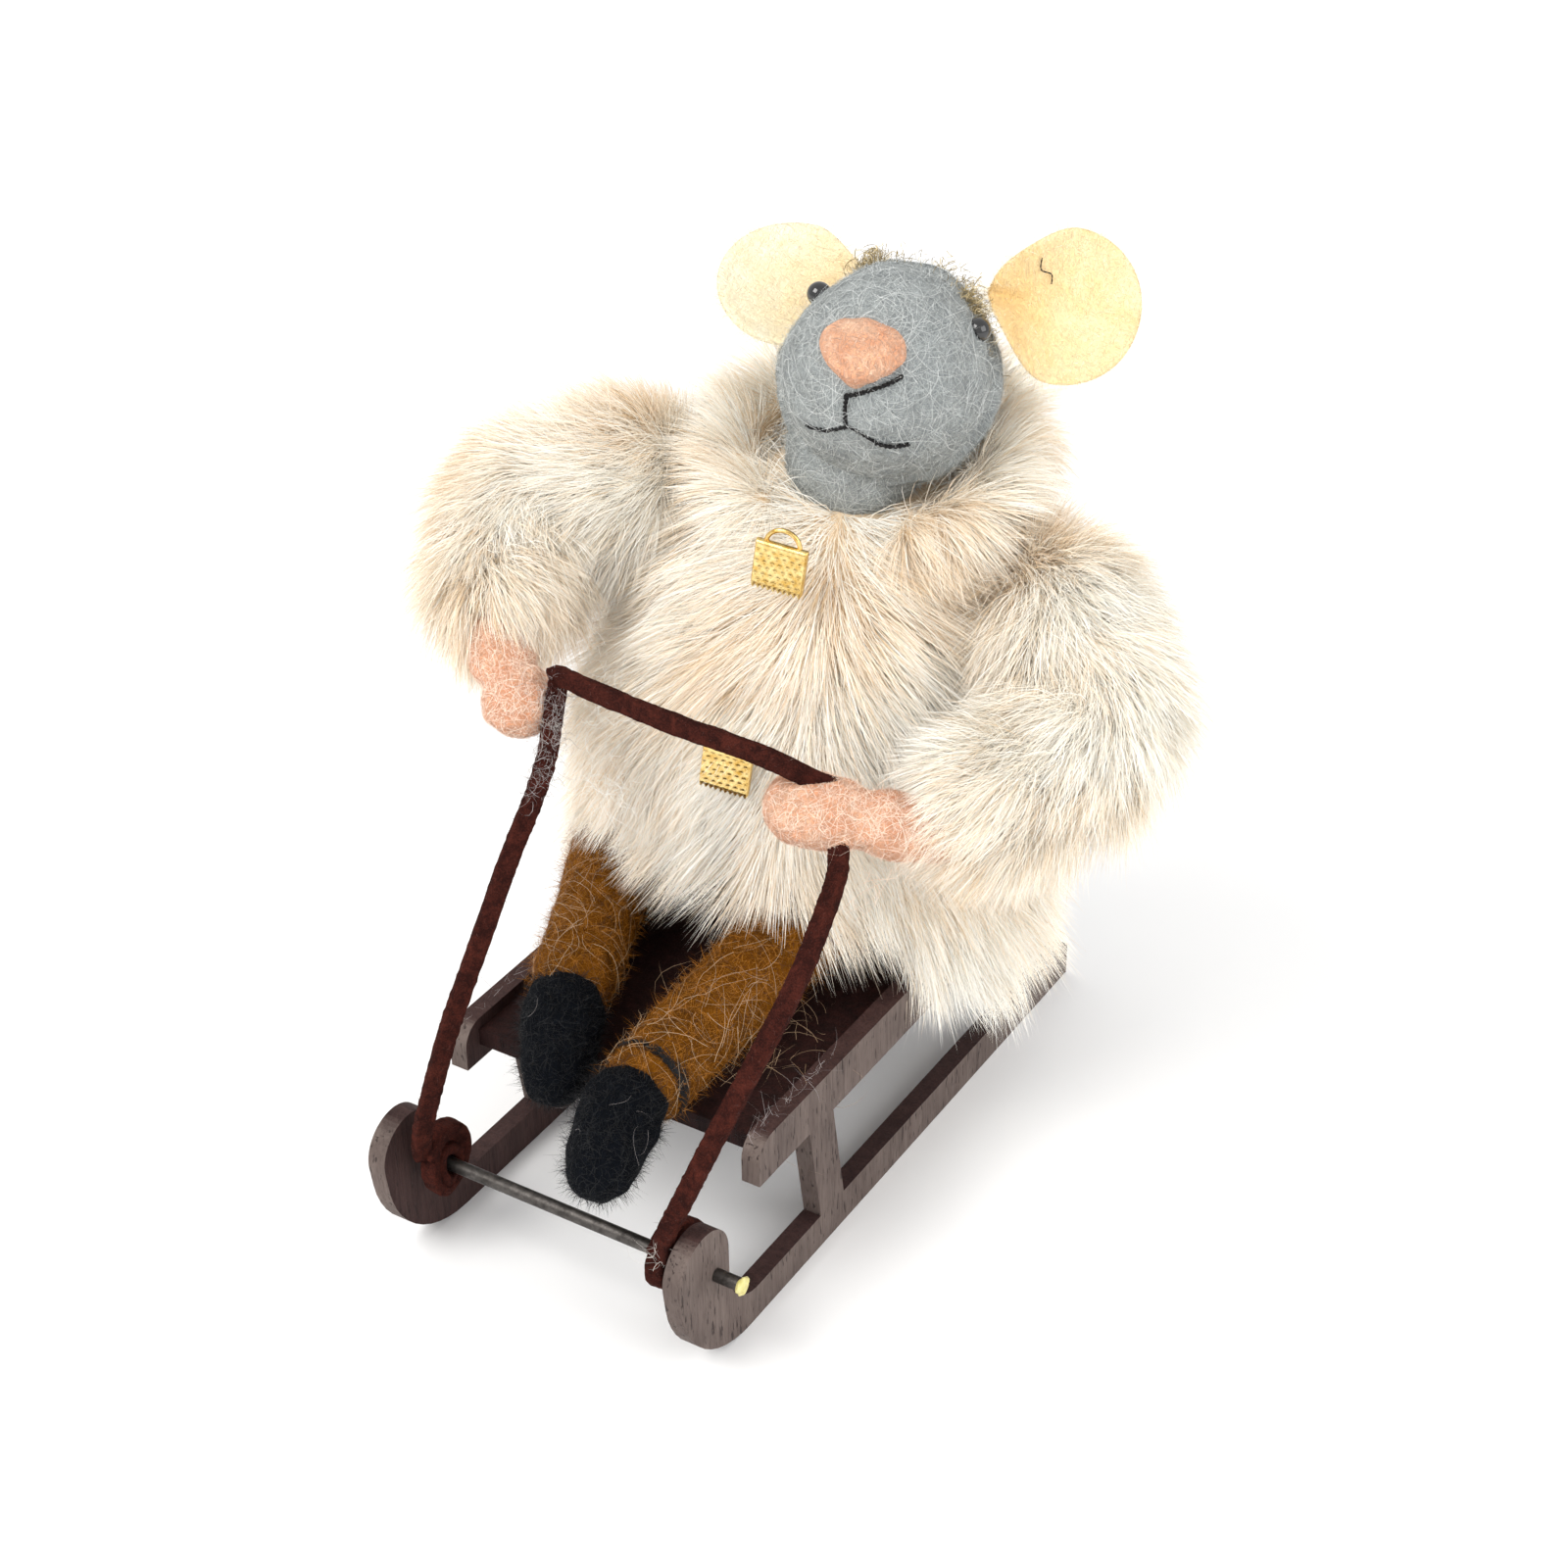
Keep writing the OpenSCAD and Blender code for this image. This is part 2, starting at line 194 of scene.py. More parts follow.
def outward(points, faces):
    """Turns all the faces round if together they hold a negative volume."""
    quads, tris = faces
    a, b, c = points[tris[:, 0]], points[tris[:, 1]], points[tris[:, 2]]
    volume = (a * np.cross(b, c)).sum()
    for m, n in ((1, 2), (2, 3)):
        a, b, c = points[quads[:, 0]], points[quads[:, m]], points[quads[:, n]]
        volume += (a * np.cross(b, c)).sum()
    return faces if volume > 0 else [f[:, ::-1] for f in faces]


def grid_of(surface, rings, around):
    """The surface at evenly spaced places, with v along the rings and u round them."""
    u, v = np.meshgrid(np.arange(around) / around, np.linspace(0, 1, rings))
    return surface(u, v)


def closed_piece(name, surface, rings, around, material, body, parent=None):
    """A closed piece from a surface of u round and v along."""
    points, faces = capped_tube(grid_of(surface, rings, around))
    middle = points.mean(0)
    faces = [f for f in outward(points - middle, faces)]
    return finish_piece(add_mesh(name, points, faces), material, body, parent)


def limb(route, radii, lump=0.0, lump_size=6.0, seed=0, squeeze=None):
    """A soft round limb along a spline. The radius goes smoothly from each of radii to the next, and falls to
    nothing over the first and last radius, so both ends are domes. lump raises and lowers the surface with
    smooth noise."""
    path = spline(route, 24)
    along = np.concatenate([[0], np.cumsum(np.linalg.norm(np.diff(path, axis=0), axis=1))])
    total = along[-1]
    _, side, top = frames_along(path)
    knots = np.linspace(0, 1, len(radii))

    def surface(u, v):
        s = (0.5 - 0.5 * np.cos(math.pi * v)) * total
        r = np.interp(s / total, knots, radii)
        near = np.clip(1 - s / radii[0], 0, 1)
        far = np.clip(1 - (total - s) / radii[-1], 0, 1)
        r = r * np.sqrt(np.clip(1 - near**2, 0, 1) * np.clip(1 - far**2, 0, 1))
        if squeeze is not None:
            r = r * squeeze(s / total)
        at = [np.stack([np.interp(s, along, a[:, k]) for k in range(3)], -1) for a in (path, side, top)]
        turn = 2 * math.pi * u[..., None]
        p = at[0] + r[..., None] * (at[1] * np.cos(turn) + at[2] * np.sin(turn))
        if lump:
            p = p + lump * noise(p, lump_size, seed)[..., None] * (at[1] * np.cos(turn) + at[2] * np.sin(turn))
        return p

    return surface


def normal_of(surface, u, v):
    """The surface's outward normal and its steps along u and v, from small differences."""
    d = 2e-3
    along_u = (surface(u + d, v) - surface(u - d, v)) / (2 * d)
    v_low, v_high = np.clip(v - d, 0, 1), np.clip(v + d, 0, 1)
    along_v = (surface(u, v_high) - surface(u, v_low)) / (v_high - v_low)[..., None]
    return unit(np.cross(along_u, along_v)), along_u, along_v


def scatter(surface, count, rng, v_range=(0.02, 0.98)):
    """Random places spread evenly over the surface's area."""
    n = 48
    u, v = np.meshgrid((np.arange(n) + 0.5) / n, v_range[0] + (v_range[1] - v_range[0]) * (np.arange(n) + 0.5) / n)
    _, along_u, along_v = normal_of(surface, u, v)
    area = np.linalg.norm(np.cross(along_u, along_v), axis=-1).ravel()
    cell = rng.choice(n * n, count, p=area / area.sum())
    step = (v_range[1] - v_range[0]) / n
    return u.ravel()[cell] + (rng.random(count) - 0.5) / n, v.ravel()[cell] + (rng.random(count) - 0.5) * step


# ---------------------------------------------------------------- fibres


def fibre_mesh(name, lines, widths, facing, roll, material, body, parent=None):
    """Flat tapering fibres. lines is fibres x points x 3, and each ends in a point. Each fibre's width lies
    across its own direction and the way it faces, then turns by roll."""
    count, steps = lines.shape[:2]
    along = unit(np.gradient(lines, axis=1))
    across = unit(np.cross(along, facing[:, None, :]))
    lift = np.cross(across, along)
    across = across * np.cos(roll)[:, None, None] + lift * np.sin(roll)[:, None, None]
    t = np.linspace(0, 1, steps)[None, :, None]
    half = widths[:, None, None] / 2 * (1 - 0.75 * t**1.5)
    left, right = lines - across * half, lines + across * half
    body_points = np.stack([left[:, :-1], right[:, :-1]], 2).reshape(count, -1, 3)
    points = np.concatenate([body_points, lines[:, -1:]], 1)
    each = points.shape[1]
    base = (np.arange(count) * each)[:, None]
    k = np.arange(steps - 2) * 2
    quads = (base[:, :, None] + np.stack([k, k + 1, k + 3, k + 2], -1)[None]).reshape(-1, 4)
    tips = base + np.array([[each - 3, each - 2, each - 1]])
    obj = add_mesh(name, points.reshape(-1, 3), [quads, tips])
    return finish_piece(obj, material, body, parent)


def pile(surface, comb, clumps, each, spread, length, rng, lift=0.8, lean=0.7, droop=0.2, gather=0.36, stray=0.27,
         v_range=(0.01, 0.99), steps=4):
    """Locks of fur. Each lock starts at a random place, its hairs stand round it within spread, and their
    tips are drawn together. A hair starts along the normal and the combed way, then bends to the combed way
    and down."""
    cu, cv = scatter(surface, clumps, rng, v_range)
    _, along_u, along_v = normal_of(surface, cu, cv)
    su, sv = np.linalg.norm(along_u, axis=-1), np.linalg.norm(along_v, axis=-1)
    lock = np.repeat(np.arange(clumps), each)
    n = len(lock)
    reach = spread * (0.6 + 0.8 * rng.random(clumps))[lock]
    off = rng.normal(size=(n, 2)) * reach[:, None] * 0.6
    u = cu[lock] + off[:, 0] / su[lock]
    v = np.clip(cv[lock] + off[:, 1] / sv[lock], v_range[0], v_range[1])

    def hair(u, v, jitter, size):
        normal, _, _ = normal_of(surface, u, v)
        way = comb(u, v, surface(u, v), normal)
        start = unit(normal * lift + way * lean + jitter)
        bend = way * lean * 0.5 - normal * 0.12 + np.array([0, 0, -droop])
        return surface(u, v) - normal * 0.3, start, bend, size

    lock_jitter = rng.normal(size=(clumps, 3)) * stray
    lock_size = length * (0.8 + 0.4 * rng.random(clumps))
    root_c, start_c, bend_c, _ = hair(cu, cv, lock_jitter, lock_size)
    tip_c = root_c + (start_c + bend_c * 0.8) * lock_size[:, None]
    size = lock_size[lock] * (0.72 + 0.4 * rng.random(n))
    root, start, bend, _ = hair(u, v, lock_jitter[lock] + rng.normal(size=(n, 3)) * stray * 0.6, size)
    bend = bend + rng.normal(size=(n, 3)) * 0.1
    t = np.linspace(0, 1, steps)[None, :, None]
    lines = root[:, None] + size[:, None, None] * (start[:, None] * t + bend[:, None] * 0.8 * t**2)
    lines = lines + (tip_c[lock] - lines[:, -1])[:, None] * (gather * (0.5 + 0.5 * rng.random(n)))[:, None,
        None] * t**2
    normal, _, _ = normal_of(surface, u, v)
    return lines, normal, lock


def lay_fur(name, made, tones, chance, body, width, rng, parent=None):
    """Shares the hairs between tones, mostly by lock, and makes a piece of each tone. chance gives each
    lock's place in the tones, from 0 to 1."""
    lines, normal, lock = made
    place = np.clip(chance[lock] + rng.normal(size=len(lock)) * 0.2, 0, 0.999)
    index = (place * len(tones)).astype(int)
    pieces = []
    for k, (tone, material) in enumerate(tones):
        mine = index == k
        count = int(mine.sum())
        if not count:
            continue
        pieces.append(
            fibre_mesh(f"{name}_{tone}", lines[mine], width * (0.7 + 0.6 * rng.random(count)), normal[mine],
                       rng.uniform(-1.0, 1.0, count), material, body, parent)
        )
    return pieces


def lying_fibres(surface, count, length, rng, lift=0.15, wander=1.0, v_range=(0.04, 0.96), steps=7):
    """Loose fibres that lie on a surface: each sets out in a random way over it, curls a little, and floats
    just above."""
    u, v = scatter(surface, count, rng, v_range)
    _, along_u, along_v = normal_of(surface, u, v)
    su, sv = np.linalg.norm(along_u, axis=-1), np.linalg.norm(along_v, axis=-1)
    heading = rng.uniform(0, 2 * math.pi, count)
    curl = rng.normal(size=count) * wander
    t = np.linspace(0, 1, steps)
    angle = heading[:, None] + curl[:, None] * t[None]
    size = length * (0.5 + rng.random(count))
    step = size / (steps - 1)
    x = np.cumsum(np.cos(angle) * step[:, None], 1) - (np.cos(angle) * step[:, None])[:, :1]
    y = np.cumsum(np.sin(angle) * step[:, None], 1) - (np.sin(angle) * step[:, None])[:, :1]
    uu = u[:, None] + x / su[:, None]
    vv = np.clip(v[:, None] + y / sv[:, None], 0.01, 0.99)
    normal, _, _ = normal_of(surface, uu, vv)
    height = lift * (0.3 + 1.2 * rng.random(count))[:, None] * (0.4 + t[None])
    return surface(uu, vv) + normal * height[..., None], normal[:, steps // 2]


def standing_fibres(surface, count, length, rng, lean=0.5, v_range=(0.02, 0.98), steps=4):
    """Short fibres that stand on a surface, each leaning and curving its own way."""
    u, v = scatter(surface, count, rng, v_range)
    normal, _, _ = normal_of(surface, u, v)
    start = unit(normal + rng.normal(size=(count, 3)) * lean)
    bend = rng.normal(size=(count, 3)) * 0.35
    size = (length * (0.4 + rng.random(count)))[:, None, None]
    t = np.linspace(0, 1, steps)[None, :, None]
    return surface(u, v)[:, None] + size * (start[:, None] * t + bend[:, None] * t**2), normal


def loose_hairs(starts, ways, length, rng, curl=0.8, steps=9):
    """Long single hairs, each a random smooth curve that sets out along its way."""
    count = len(starts)
    way = unit(ways + rng.normal(size=(count, 3)) * 0.35)
    side = unit(np.cross(way, rng.normal(size=(count, 3))))
    other = np.cross(way, side)
    size = (length * (0.5 + rng.random(count)))[:, None, None]
    t = np.linspace(0, 1, steps)[None, :, None]
    phase, turns = rng.uniform(0, 6.28, (count, 1, 1)), curl * rng.uniform(1.5, 4.5, (count, 1, 1))
    wave = 0.16 * rng.uniform(0.4, 1.4, (count, 1, 1))
    return starts[:, None] + size * (
        way[:, None] * t
        + side[:, None] * wave * (np.sin(phase + turns * t) - np.sin(phase))
        + other[:, None] * wave * (np.cos(phase + turns * t) - np.cos(phase))
    )


# ---------------------------------------------------------------- materials


def colour(code):
    """A #rrggbb colour as the linear values that a shader takes."""
    c = np.array([int(code[i : i + 2], 16) / 255 for i in (1, 3, 5)])
    c = np.where(c <= 0.04045, c / 12.92, ((c + 0.055) / 1.055) ** 2.4)
    return (*(float(x) for x in c), 1.0)


def new_group(name, inputs, outputs):
    """An empty shader node group with its named inputs and outputs."""
    group = bpy.data.node_groups.new(name, "ShaderNodeTree")
    for label, kind, value in inputs:
        socket = group.interface.new_socket(name=label, in_out="INPUT", socket_type=kind)
        if value is not None:
            socket.default_value = value
    for label, kind in outputs:
        group.interface.new_socket(name=label, in_out="OUTPUT", socket_type=kind)
    return group, group.nodes.new("NodeGroupInput"), group.nodes.new("NodeGroupOutput")


FLOAT, COLOUR, VECTOR = "NodeSocketFloat", "NodeSocketColor", "NodeSocketVector"


def node(tree, kind, **settings):
    """A node with its properties set, and its inputs set by their names."""
    made = tree.nodes.new("ShaderNode" + kind)
    for key, value in settings.pop("values", {}).items():
        made.inputs[key].default_value = value
    for key, value in settings.items():
        setattr(made, key, value)
    return made


def noise_node(tree, vector, scale, detail=4.0, rough=0.6, distortion=0.0):
    made = node(tree, "TexNoise", values={"Scale": scale, "Detail": detail, "Roughness": rough,
        "Distortion": distortion})
    tree.links.new(vector, made.inputs["Vector"])
    return made


def mix_colour(tree, factor, a, b):
    """A colour mix; each of factor, a and b is a value or a socket."""
    made = node(tree, "Mix", data_type="RGBA")
    for socket, value in ((made.inputs[0], factor), (made.inputs[6], a), (made.inputs[7], b)):
        if isinstance(value, bpy.types.NodeSocket):
            tree.links.new(value, socket)
        else:
            socket.default_value = value
    return made.outputs[2]


def remap(tree, value, low, high, to_low=0.0, to_high=1.0):
    made = node(tree, "MapRange", values={"From Min": low, "From Max": high, "To Min": to_low, "To Max": to_high})
    tree.links.new(value, made.inputs["Value"])
    return made.outputs["Result"]


def stretched(tree, vector, scale, turn=(0, 0, 0)):
    """Coordinates turned and scaled, for a pattern that is longer one way."""
    made = node(tree, "Mapping", values={"Scale": scale, "Rotation": [math.radians(a) for a in turn]})
    tree.links.new(vector, made.inputs["Vector"])
    return made.outputs["Vector"]


def felt_group():
    """Felted wool: matted fibres in three crossing ways, soft clouds of tone, and small pits."""
    group, given, out = new_group(
        "felted wool",
        [("Vector", VECTOR, None), ("Light", COLOUR, None), ("Middle", COLOUR, None), ("Dark", COLOUR, None),
         ("Clouds", FLOAT, 0.5), ("Fibres", FLOAT, 0.5)],
        [("Colour", COLOUR), ("Height", FLOAT), ("Roughness", FLOAT)],
    )
    tree, link = group, group.links.new
    vector = given.outputs["Vector"]
    ways = []
    for turn, size in (((20, 35, 10), (1900, 330, 900)), ((70, -20, 55), (420, 2100, 1000)),
        ((-40, 60, -30), (1200, 1800, 300))):
        ways.append(noise_node(tree, stretched(tree, vector, size, turn), 1.0, 3.0, 0.55, 1.6).outputs["Fac"])
    first = node(tree, "Math", operation="MAXIMUM")
    link(ways[0], first.inputs[0])
    link(ways[1], first.inputs[1])
    second = node(tree, "Math", operation="MAXIMUM")
    link(first.outputs[0], second.inputs[0])
    link(ways[2], second.inputs[1])
    fibres = remap(tree, second.outputs[0], 0.5, 0.78)
    clouds = remap(tree, noise_node(tree, vector, 240.0, 4.0, 0.6).outputs["Fac"], 0.32, 0.68)
    cloud_share = node(tree, "Math", operation="MULTIPLY")
    link(clouds, cloud_share.inputs[0])
    link(given.outputs["Clouds"], cloud_share.inputs[1])
    base = mix_colour(tree, cloud_share.outputs[0], given.outputs["Middle"], given.outputs["Dark"])
    fibre_share = node(tree, "Math", operation="MULTIPLY")
    link(fibres, fibre_share.inputs[0])
    link(given.outputs["Fibres"], fibre_share.inputs[1])
    link(mix_colour(tree, fibre_share.outputs[0], base, given.outputs["Light"]), out.inputs["Colour"])
    height = node(tree, "Math", operation="ADD")
    link(fibres, height.inputs[0])
    link(clouds, height.inputs[1])
    link(height.outputs[0], out.inputs["Height"])
    link(remap(tree, fibres, 0, 1, 0.95, 0.8), out.inputs["Roughness"])
    return group


def nap_group():
    """Suede nap: fine grains and rubbed lighter patches."""
    group, given, out = new_group(
        "suede nap",
        [("Vector", VECTOR, None), ("Light", COLOUR, None), ("Dark", COLOUR, None), ("Rubbed", FLOAT, 0.5)],
        [("Colour", COLOUR), ("Height", FLOAT)],
    )
    tree, link = group, group.links.new
    grains = noise_node(tree, given.outputs["Vector"], 3600.0, 5.0, 0.7).outputs["Fac"]
    patches = noise_node(tree, given.outputs["Vector"], 420.0, 4.0, 0.65, 0.6).outputs["Fac"]
    both = node(tree, "Math", operation="ADD")
    link(remap(tree, grains, 0.4, 0.7), both.inputs[0])
    link(remap(tree, patches, 0.35, 0.7, -0.4, 0.8), both.inputs[1])
    share = node(tree, "Math", operation="MULTIPLY", use_clamp=True)
    link(both.outputs[0], share.inputs[0])
    link(given.outputs["Rubbed"], share.inputs[1])
    link(mix_colour(tree, share.outputs[0], given.outputs["Dark"], given.outputs["Light"]), out.inputs["Colour"])
    link(grains, out.inputs["Height"])
    return group


def grain_group():
    """Stained wood: long soft bands, fine pores as short dark flecks, and thin stain on top."""
    group, given, out = new_group(
        "wood grain",
        [("Vector", VECTOR, None), ("Light", COLOUR, None), ("Middle", COLOUR, None), ("Dark", COLOUR, None),
            ("Flecks", FLOAT, 0.8)],
        [("Colour", COLOUR), ("Height", FLOAT), ("Roughness", FLOAT)],
    )
    tree, link = group, group.links.new
    vector = given.outputs["Vector"]
    bands = noise_node(tree, stretched(tree, vector, (500, 620, 60), (0, 0, 0)), 1.0, 4.0, 0.6, 0.8).outputs["Fac"]
    fine = noise_node(tree, stretched(tree, vector, (2600, 2600, 240), (0, 0, 0)), 1.0, 3.0, 0.6,
        0.3).outputs["Fac"]
    pores = noise_node(tree, stretched(tree, vector, (1700, 1900, 300), (0, 0, 0)), 1.0, 2.0, 0.5,
        0.2).outputs["Fac"]
    stain = noise_node(tree, vector, 90.0, 3.0, 0.55).outputs["Fac"]
    tone = mix_colour(tree, remap(tree, bands, 0.35, 0.68), given.outputs["Middle"], given.outputs["Light"])
    tone = mix_colour(tree, remap(tree, fine, 0.52, 0.72, 0.0, 0.35), tone, given.outputs["Dark"])
    tone = mix_colour(tree, remap(tree, stain, 0.45, 0.75, 0.0, 0.35), tone, given.outputs["Dark"])
    mask = remap(tree, pores, 0.63, 0.68)
    flecks = node(tree, "Math", operation="MULTIPLY")
    link(mask, flecks.inputs[0])
    link(given.outputs["Flecks"], flecks.inputs[1])
    link(mix_colour(tree, flecks.outputs[0], tone, given.outputs["Dark"]), out.inputs["Colour"])
    height = node(tree, "Math", operation="SUBTRACT")
    link(fine, height.inputs[0])
    link(flecks.outputs[0], height.inputs[1])
    link(height.outputs[0], out.inputs["Height"])
    link(remap(tree, fine, 0.3, 0.7, 0.62, 0.8), out.inputs["Roughness"])
    return group


FELT, NAP, GRAIN = felt_group(), nap_group(), grain_group()


def new_material(name, **values):
    """A material with its shader, whose plain values are set by their sockets' names."""
    material = bpy.data.materials.new(name)
    material.use_nodes = True
    shader = material.node_tree.nodes["Principled BSDF"]
    for key, value in values.items():
        shader.inputs[key.replace("_", " ")].default_value = value
    return material, material.node_tree, shader


def place_group(tree, group, inputs):
    """A group node that reads Object coordinates, with its own values."""
    made = tree.nodes.new("ShaderNodeGroup")
    made.node_tree = group
    where = tree.nodes.new("ShaderNodeTexCoord")
    tree.links.new(where.outputs["Object"], made.inputs["Vector"])
    for key, value in inputs.items():
        made.inputs[key].default_value = value
    return made


def bump(tree, shader, height, distance, strength=1.0):
    made = node(tree, "Bump", values={"Distance": distance, "Strength": strength})
    tree.links.new(height, made.inputs["Height"])
    tree.links.new(made.outputs["Normal"], shader.inputs["Normal"])


def felt(name, light, middle, dark, clouds=0.5, fibres=0.5, depth=0.0004, sheen=0.0):
    material, tree, shader = new_material(name, Specular_IOR_Level=0.08, Sheen_Weight=sheen, Sheen_Roughness=0.6)
    group = place_group(tree, FELT, {"Light": colour(light), "Middle": colour(middle), "Dark": colour(dark),
        "Clouds": clouds, "Fibres": fibres})
    tree.links.new(group.outputs["Colour"], shader.inputs["Base Color"])
    tree.links.new(group.outputs["Roughness"], shader.inputs["Roughness"])
    bump(tree, shader, group.outputs["Height"], depth)
    return material


def suede(name, light, dark, rubbed=0.6):
    material, tree, shader = new_material(name, Roughness=0.95, Specular_IOR_Level=0.05)
    group = place_group(tree, NAP, {"Light": colour(light), "Dark": colour(dark), "Rubbed": rubbed})
    tree.links.new(group.outputs["Colour"], shader.inputs["Base Color"])
    bump(tree, shader, group.outputs["Height"], 0.00035)
    return material


def board_wood():
    """The side boards: taupe stain on the flat outer faces and on the faces that look forwards; redder and darker
    on the other cut edges and the inner faces, partly a redder stain and partly painted shade."""
    material, tree, shader = new_material("stained side board with painted shade", Specular_IOR_Level=0.2)
    outer = place_group(tree, GRAIN, {"Light": colour("#6f625c"), "Middle": colour("#5f524d"),
        "Dark": colour("#2f2523"), "Flecks": 0.8})
    # Painted shade: this darker, redder grain goes on the inner faces and on edges that do not face forwards; it is
    # partly stain.
    edge = place_group(tree, GRAIN, {"Light": colour("#47322f"), "Middle": colour("#382624"),
        "Dark": colour("#1f1413"), "Flecks": 0.4})
    where = tree.nodes.new("ShaderNodeTexCoord")
    normal = node(tree, "SeparateXYZ")
    place = node(tree, "SeparateXYZ")
    tree.links.new(where.outputs["Normal"], normal.inputs[0])
    tree.links.new(where.outputs["Object"], place.inputs[0])
    # Faces that point outwards or forwards keep the taupe; every other face gets the painted shade.
    away = node(tree, "Math", operation="MULTIPLY")
    side = node(tree, "Math", operation="SIGN")
    offset = node(tree, "Math", operation="ADD", values={1: 0.008})
    tree.links.new(place.outputs["X"], offset.inputs[0])
    tree.links.new(offset.outputs[0], side.inputs[0])
    tree.links.new(normal.outputs["X"], away.inputs[0])
    tree.links.new(side.outputs[0], away.inputs[1])
    outside = remap(tree, away.outputs[0], 0.3, 0.7)
    front = remap(tree, normal.outputs["Y"], -0.15, -0.6)
    face = node(tree, "Math", operation="MAXIMUM")
    tree.links.new(outside, face.inputs[0])
    tree.links.new(front, face.inputs[1])
    tone = mix_colour(tree, face.outputs[0], edge.outputs["Colour"], outer.outputs["Colour"])
    tree.links.new(tone, shader.inputs["Base Color"])
    tree.links.new(outer.outputs["Roughness"], shader.inputs["Roughness"])
    bump(tree, shader, outer.outputs["Height"], 0.00012)
    return material


def dark_wood(name, light, middle, dark, shine=0.25):
    material, tree, shader = new_material(name, Specular_IOR_Level=shine)
    group = place_group(tree, GRAIN, {"Light": colour(light), "Middle": colour(middle), "Dark": colour(dark),
        "Flecks": 0.5})
    tree.links.new(group.outputs["Colour"], shader.inputs["Base Color"])
    tree.links.new(group.outputs["Roughness"], shader.inputs["Roughness"])
    bump(tree, shader, group.outputs["Height"], 0.00015)
    return material


def metal(name, light, dark, roughness, scale=600.0, depth=0.00003):
    """Plain metal with faint dull patches."""
    material, tree, shader = new_material(name, Metallic=1.0)
    where = tree.nodes.new("ShaderNodeTexCoord")
    patches = noise_node(tree, where.outputs["Object"], scale, 4.0, 0.6).outputs["Fac"]
    fine = noise_node(tree, where.outputs["Object"], scale * 6, 3.0, 0.6).outputs["Fac"]
    tree.links.new(mix_colour(tree, remap(tree, patches, 0.35, 0.7), colour(light), colour(dark)),
        shader.inputs["Base Color"])
    tree.links.new(remap(tree, fine, 0.3, 0.7, roughness - 0.06, roughness + 0.12), shader.inputs["Roughness"])
    bump(tree, shader, fine, depth)
    return material


def patched(name, light, dark, roughness, scale, depth, **values):
    """Any plain stuff with two mixed tones and a fine surface."""
    material, tree, shader = new_material(name, **values)
    where = tree.nodes.new("ShaderNodeTexCoord")
    patches = noise_node(tree, where.outputs["Object"], scale, 4.0, 0.6).outputs["Fac"]
    fine = noise_node(tree, where.outputs["Object"], scale * 4, 3.0, 0.6).outputs["Fac"]
    tree.links.new(mix_colour(tree, remap(tree, patches, 0.35, 0.7), colour(light), colour(dark)),
        shader.inputs["Base Color"])
    tree.links.new(remap(tree, fine, 0.3, 0.7, roughness - 0.05, roughness + 0.08), shader.inputs["Roughness"])
    bump(tree, shader, fine, depth)
    return material


def hair_tone(name, code, sheen=0.0):
    """One tone of loose fibre. A lock's colour varies because it mixes several tones."""
    material, _, _ = new_material(
        name, Base_Color=colour(code), Roughness=0.55, Specular_IOR_Level=0.3, Sheen_Weight=sheen, Sheen_Roughness=0.4
    )
    return material


def ear_felt(base_point, middle, dark):
    """Cream felt sheet, more ochre in a few worn spots and towards the pinched base, where the ochre is painted
    shade.
    """
    material, tree, shader = new_material("cream felt sheet", Specular_IOR_Level=0.08, Sheen_Weight=0.1,
        Sheen_Roughness=0.6)
    group = place_group(tree, FELT, {"Light": colour("#fdf3d9"), "Middle": colour(middle),
        "Dark": colour(dark), "Clouds": 0.7, "Fibres": 0.3})
    where = tree.nodes.new("ShaderNodeTexCoord")
    far = node(tree, "VectorMath", operation="DISTANCE")
    tree.links.new(where.outputs["Object"], far.inputs[0])
    far.inputs[1].default_value = tuple(float(x) * MM for x in base_point)
    # Painted shade: the felt turns ochre within 14 mm of the ear's base, where it is pinched against the head.
    near = remap(tree, far.outputs["Value"], 0.014, 0.003, 0.0, 0.6)
    tone = mix_colour(tree, near, group.outputs["Colour"], colour("#e6bb70"))
    spots = noise_node(tree, where.outputs["Object"], 330.0, 2.0, 0.4, 0.3).outputs["Fac"]
    tone = mix_colour(tree, remap(tree, spots, 0.64, 0.8, 0.0, 0.35), tone, colour("#e9c47c"))
    tree.links.new(tone, shader.inputs["Base Color"])
    tree.links.new(group.outputs["Roughness"], shader.inputs["Roughness"])
    bump(tree, shader, group.outputs["Height"], 0.0002)
    return material


wood = board_wood()
seat_wood = dark_wood("dark seat board", "#331c1a", "#221413", "#0e0909", 0.12)
steel = metal("dull steel rod", "#5f5b58", "#383533", 0.45)
wire = metal("armature wire", "#a5a5a2", "#7b7b78", 0.35)
gilt = metal("gilt brass", "#ecd394", "#c79b45", 0.2, 900.0, 0.00002)
glue = patched("yellow glue", "#e2d58f", "#c7b765", 0.35, 900.0, 0.0001, Specular_IOR_Level=0.5,
    Subsurface_Weight=0.1)
lace_suede = suede("brown suede lace", "#5a2b22", "#2c1512")
grey_felt = felt("grey felted wool", "#ccd0cf", "#a7acab", "#898e8e", 0.8, 0.5, sheen=0.1)
peach_felt = felt("peach felted wool", "#f8dcc4", "#ecb895", "#d68f68", 0.9, 0.5, sheen=0.15)
mustard_felt = felt("mustard felted wool", "#a36714", "#7c4a0a", "#4c2b05", 0.9, 0.55)
black_felt = felt("blue-black felted wool", "#161c26", "#0a0d13", "#040609", 0.6, 0.45)
core_felt = felt("undyed wool core", "#e8e1d4", "#d6cdbd", "#b9ad99", sheen=0.2)
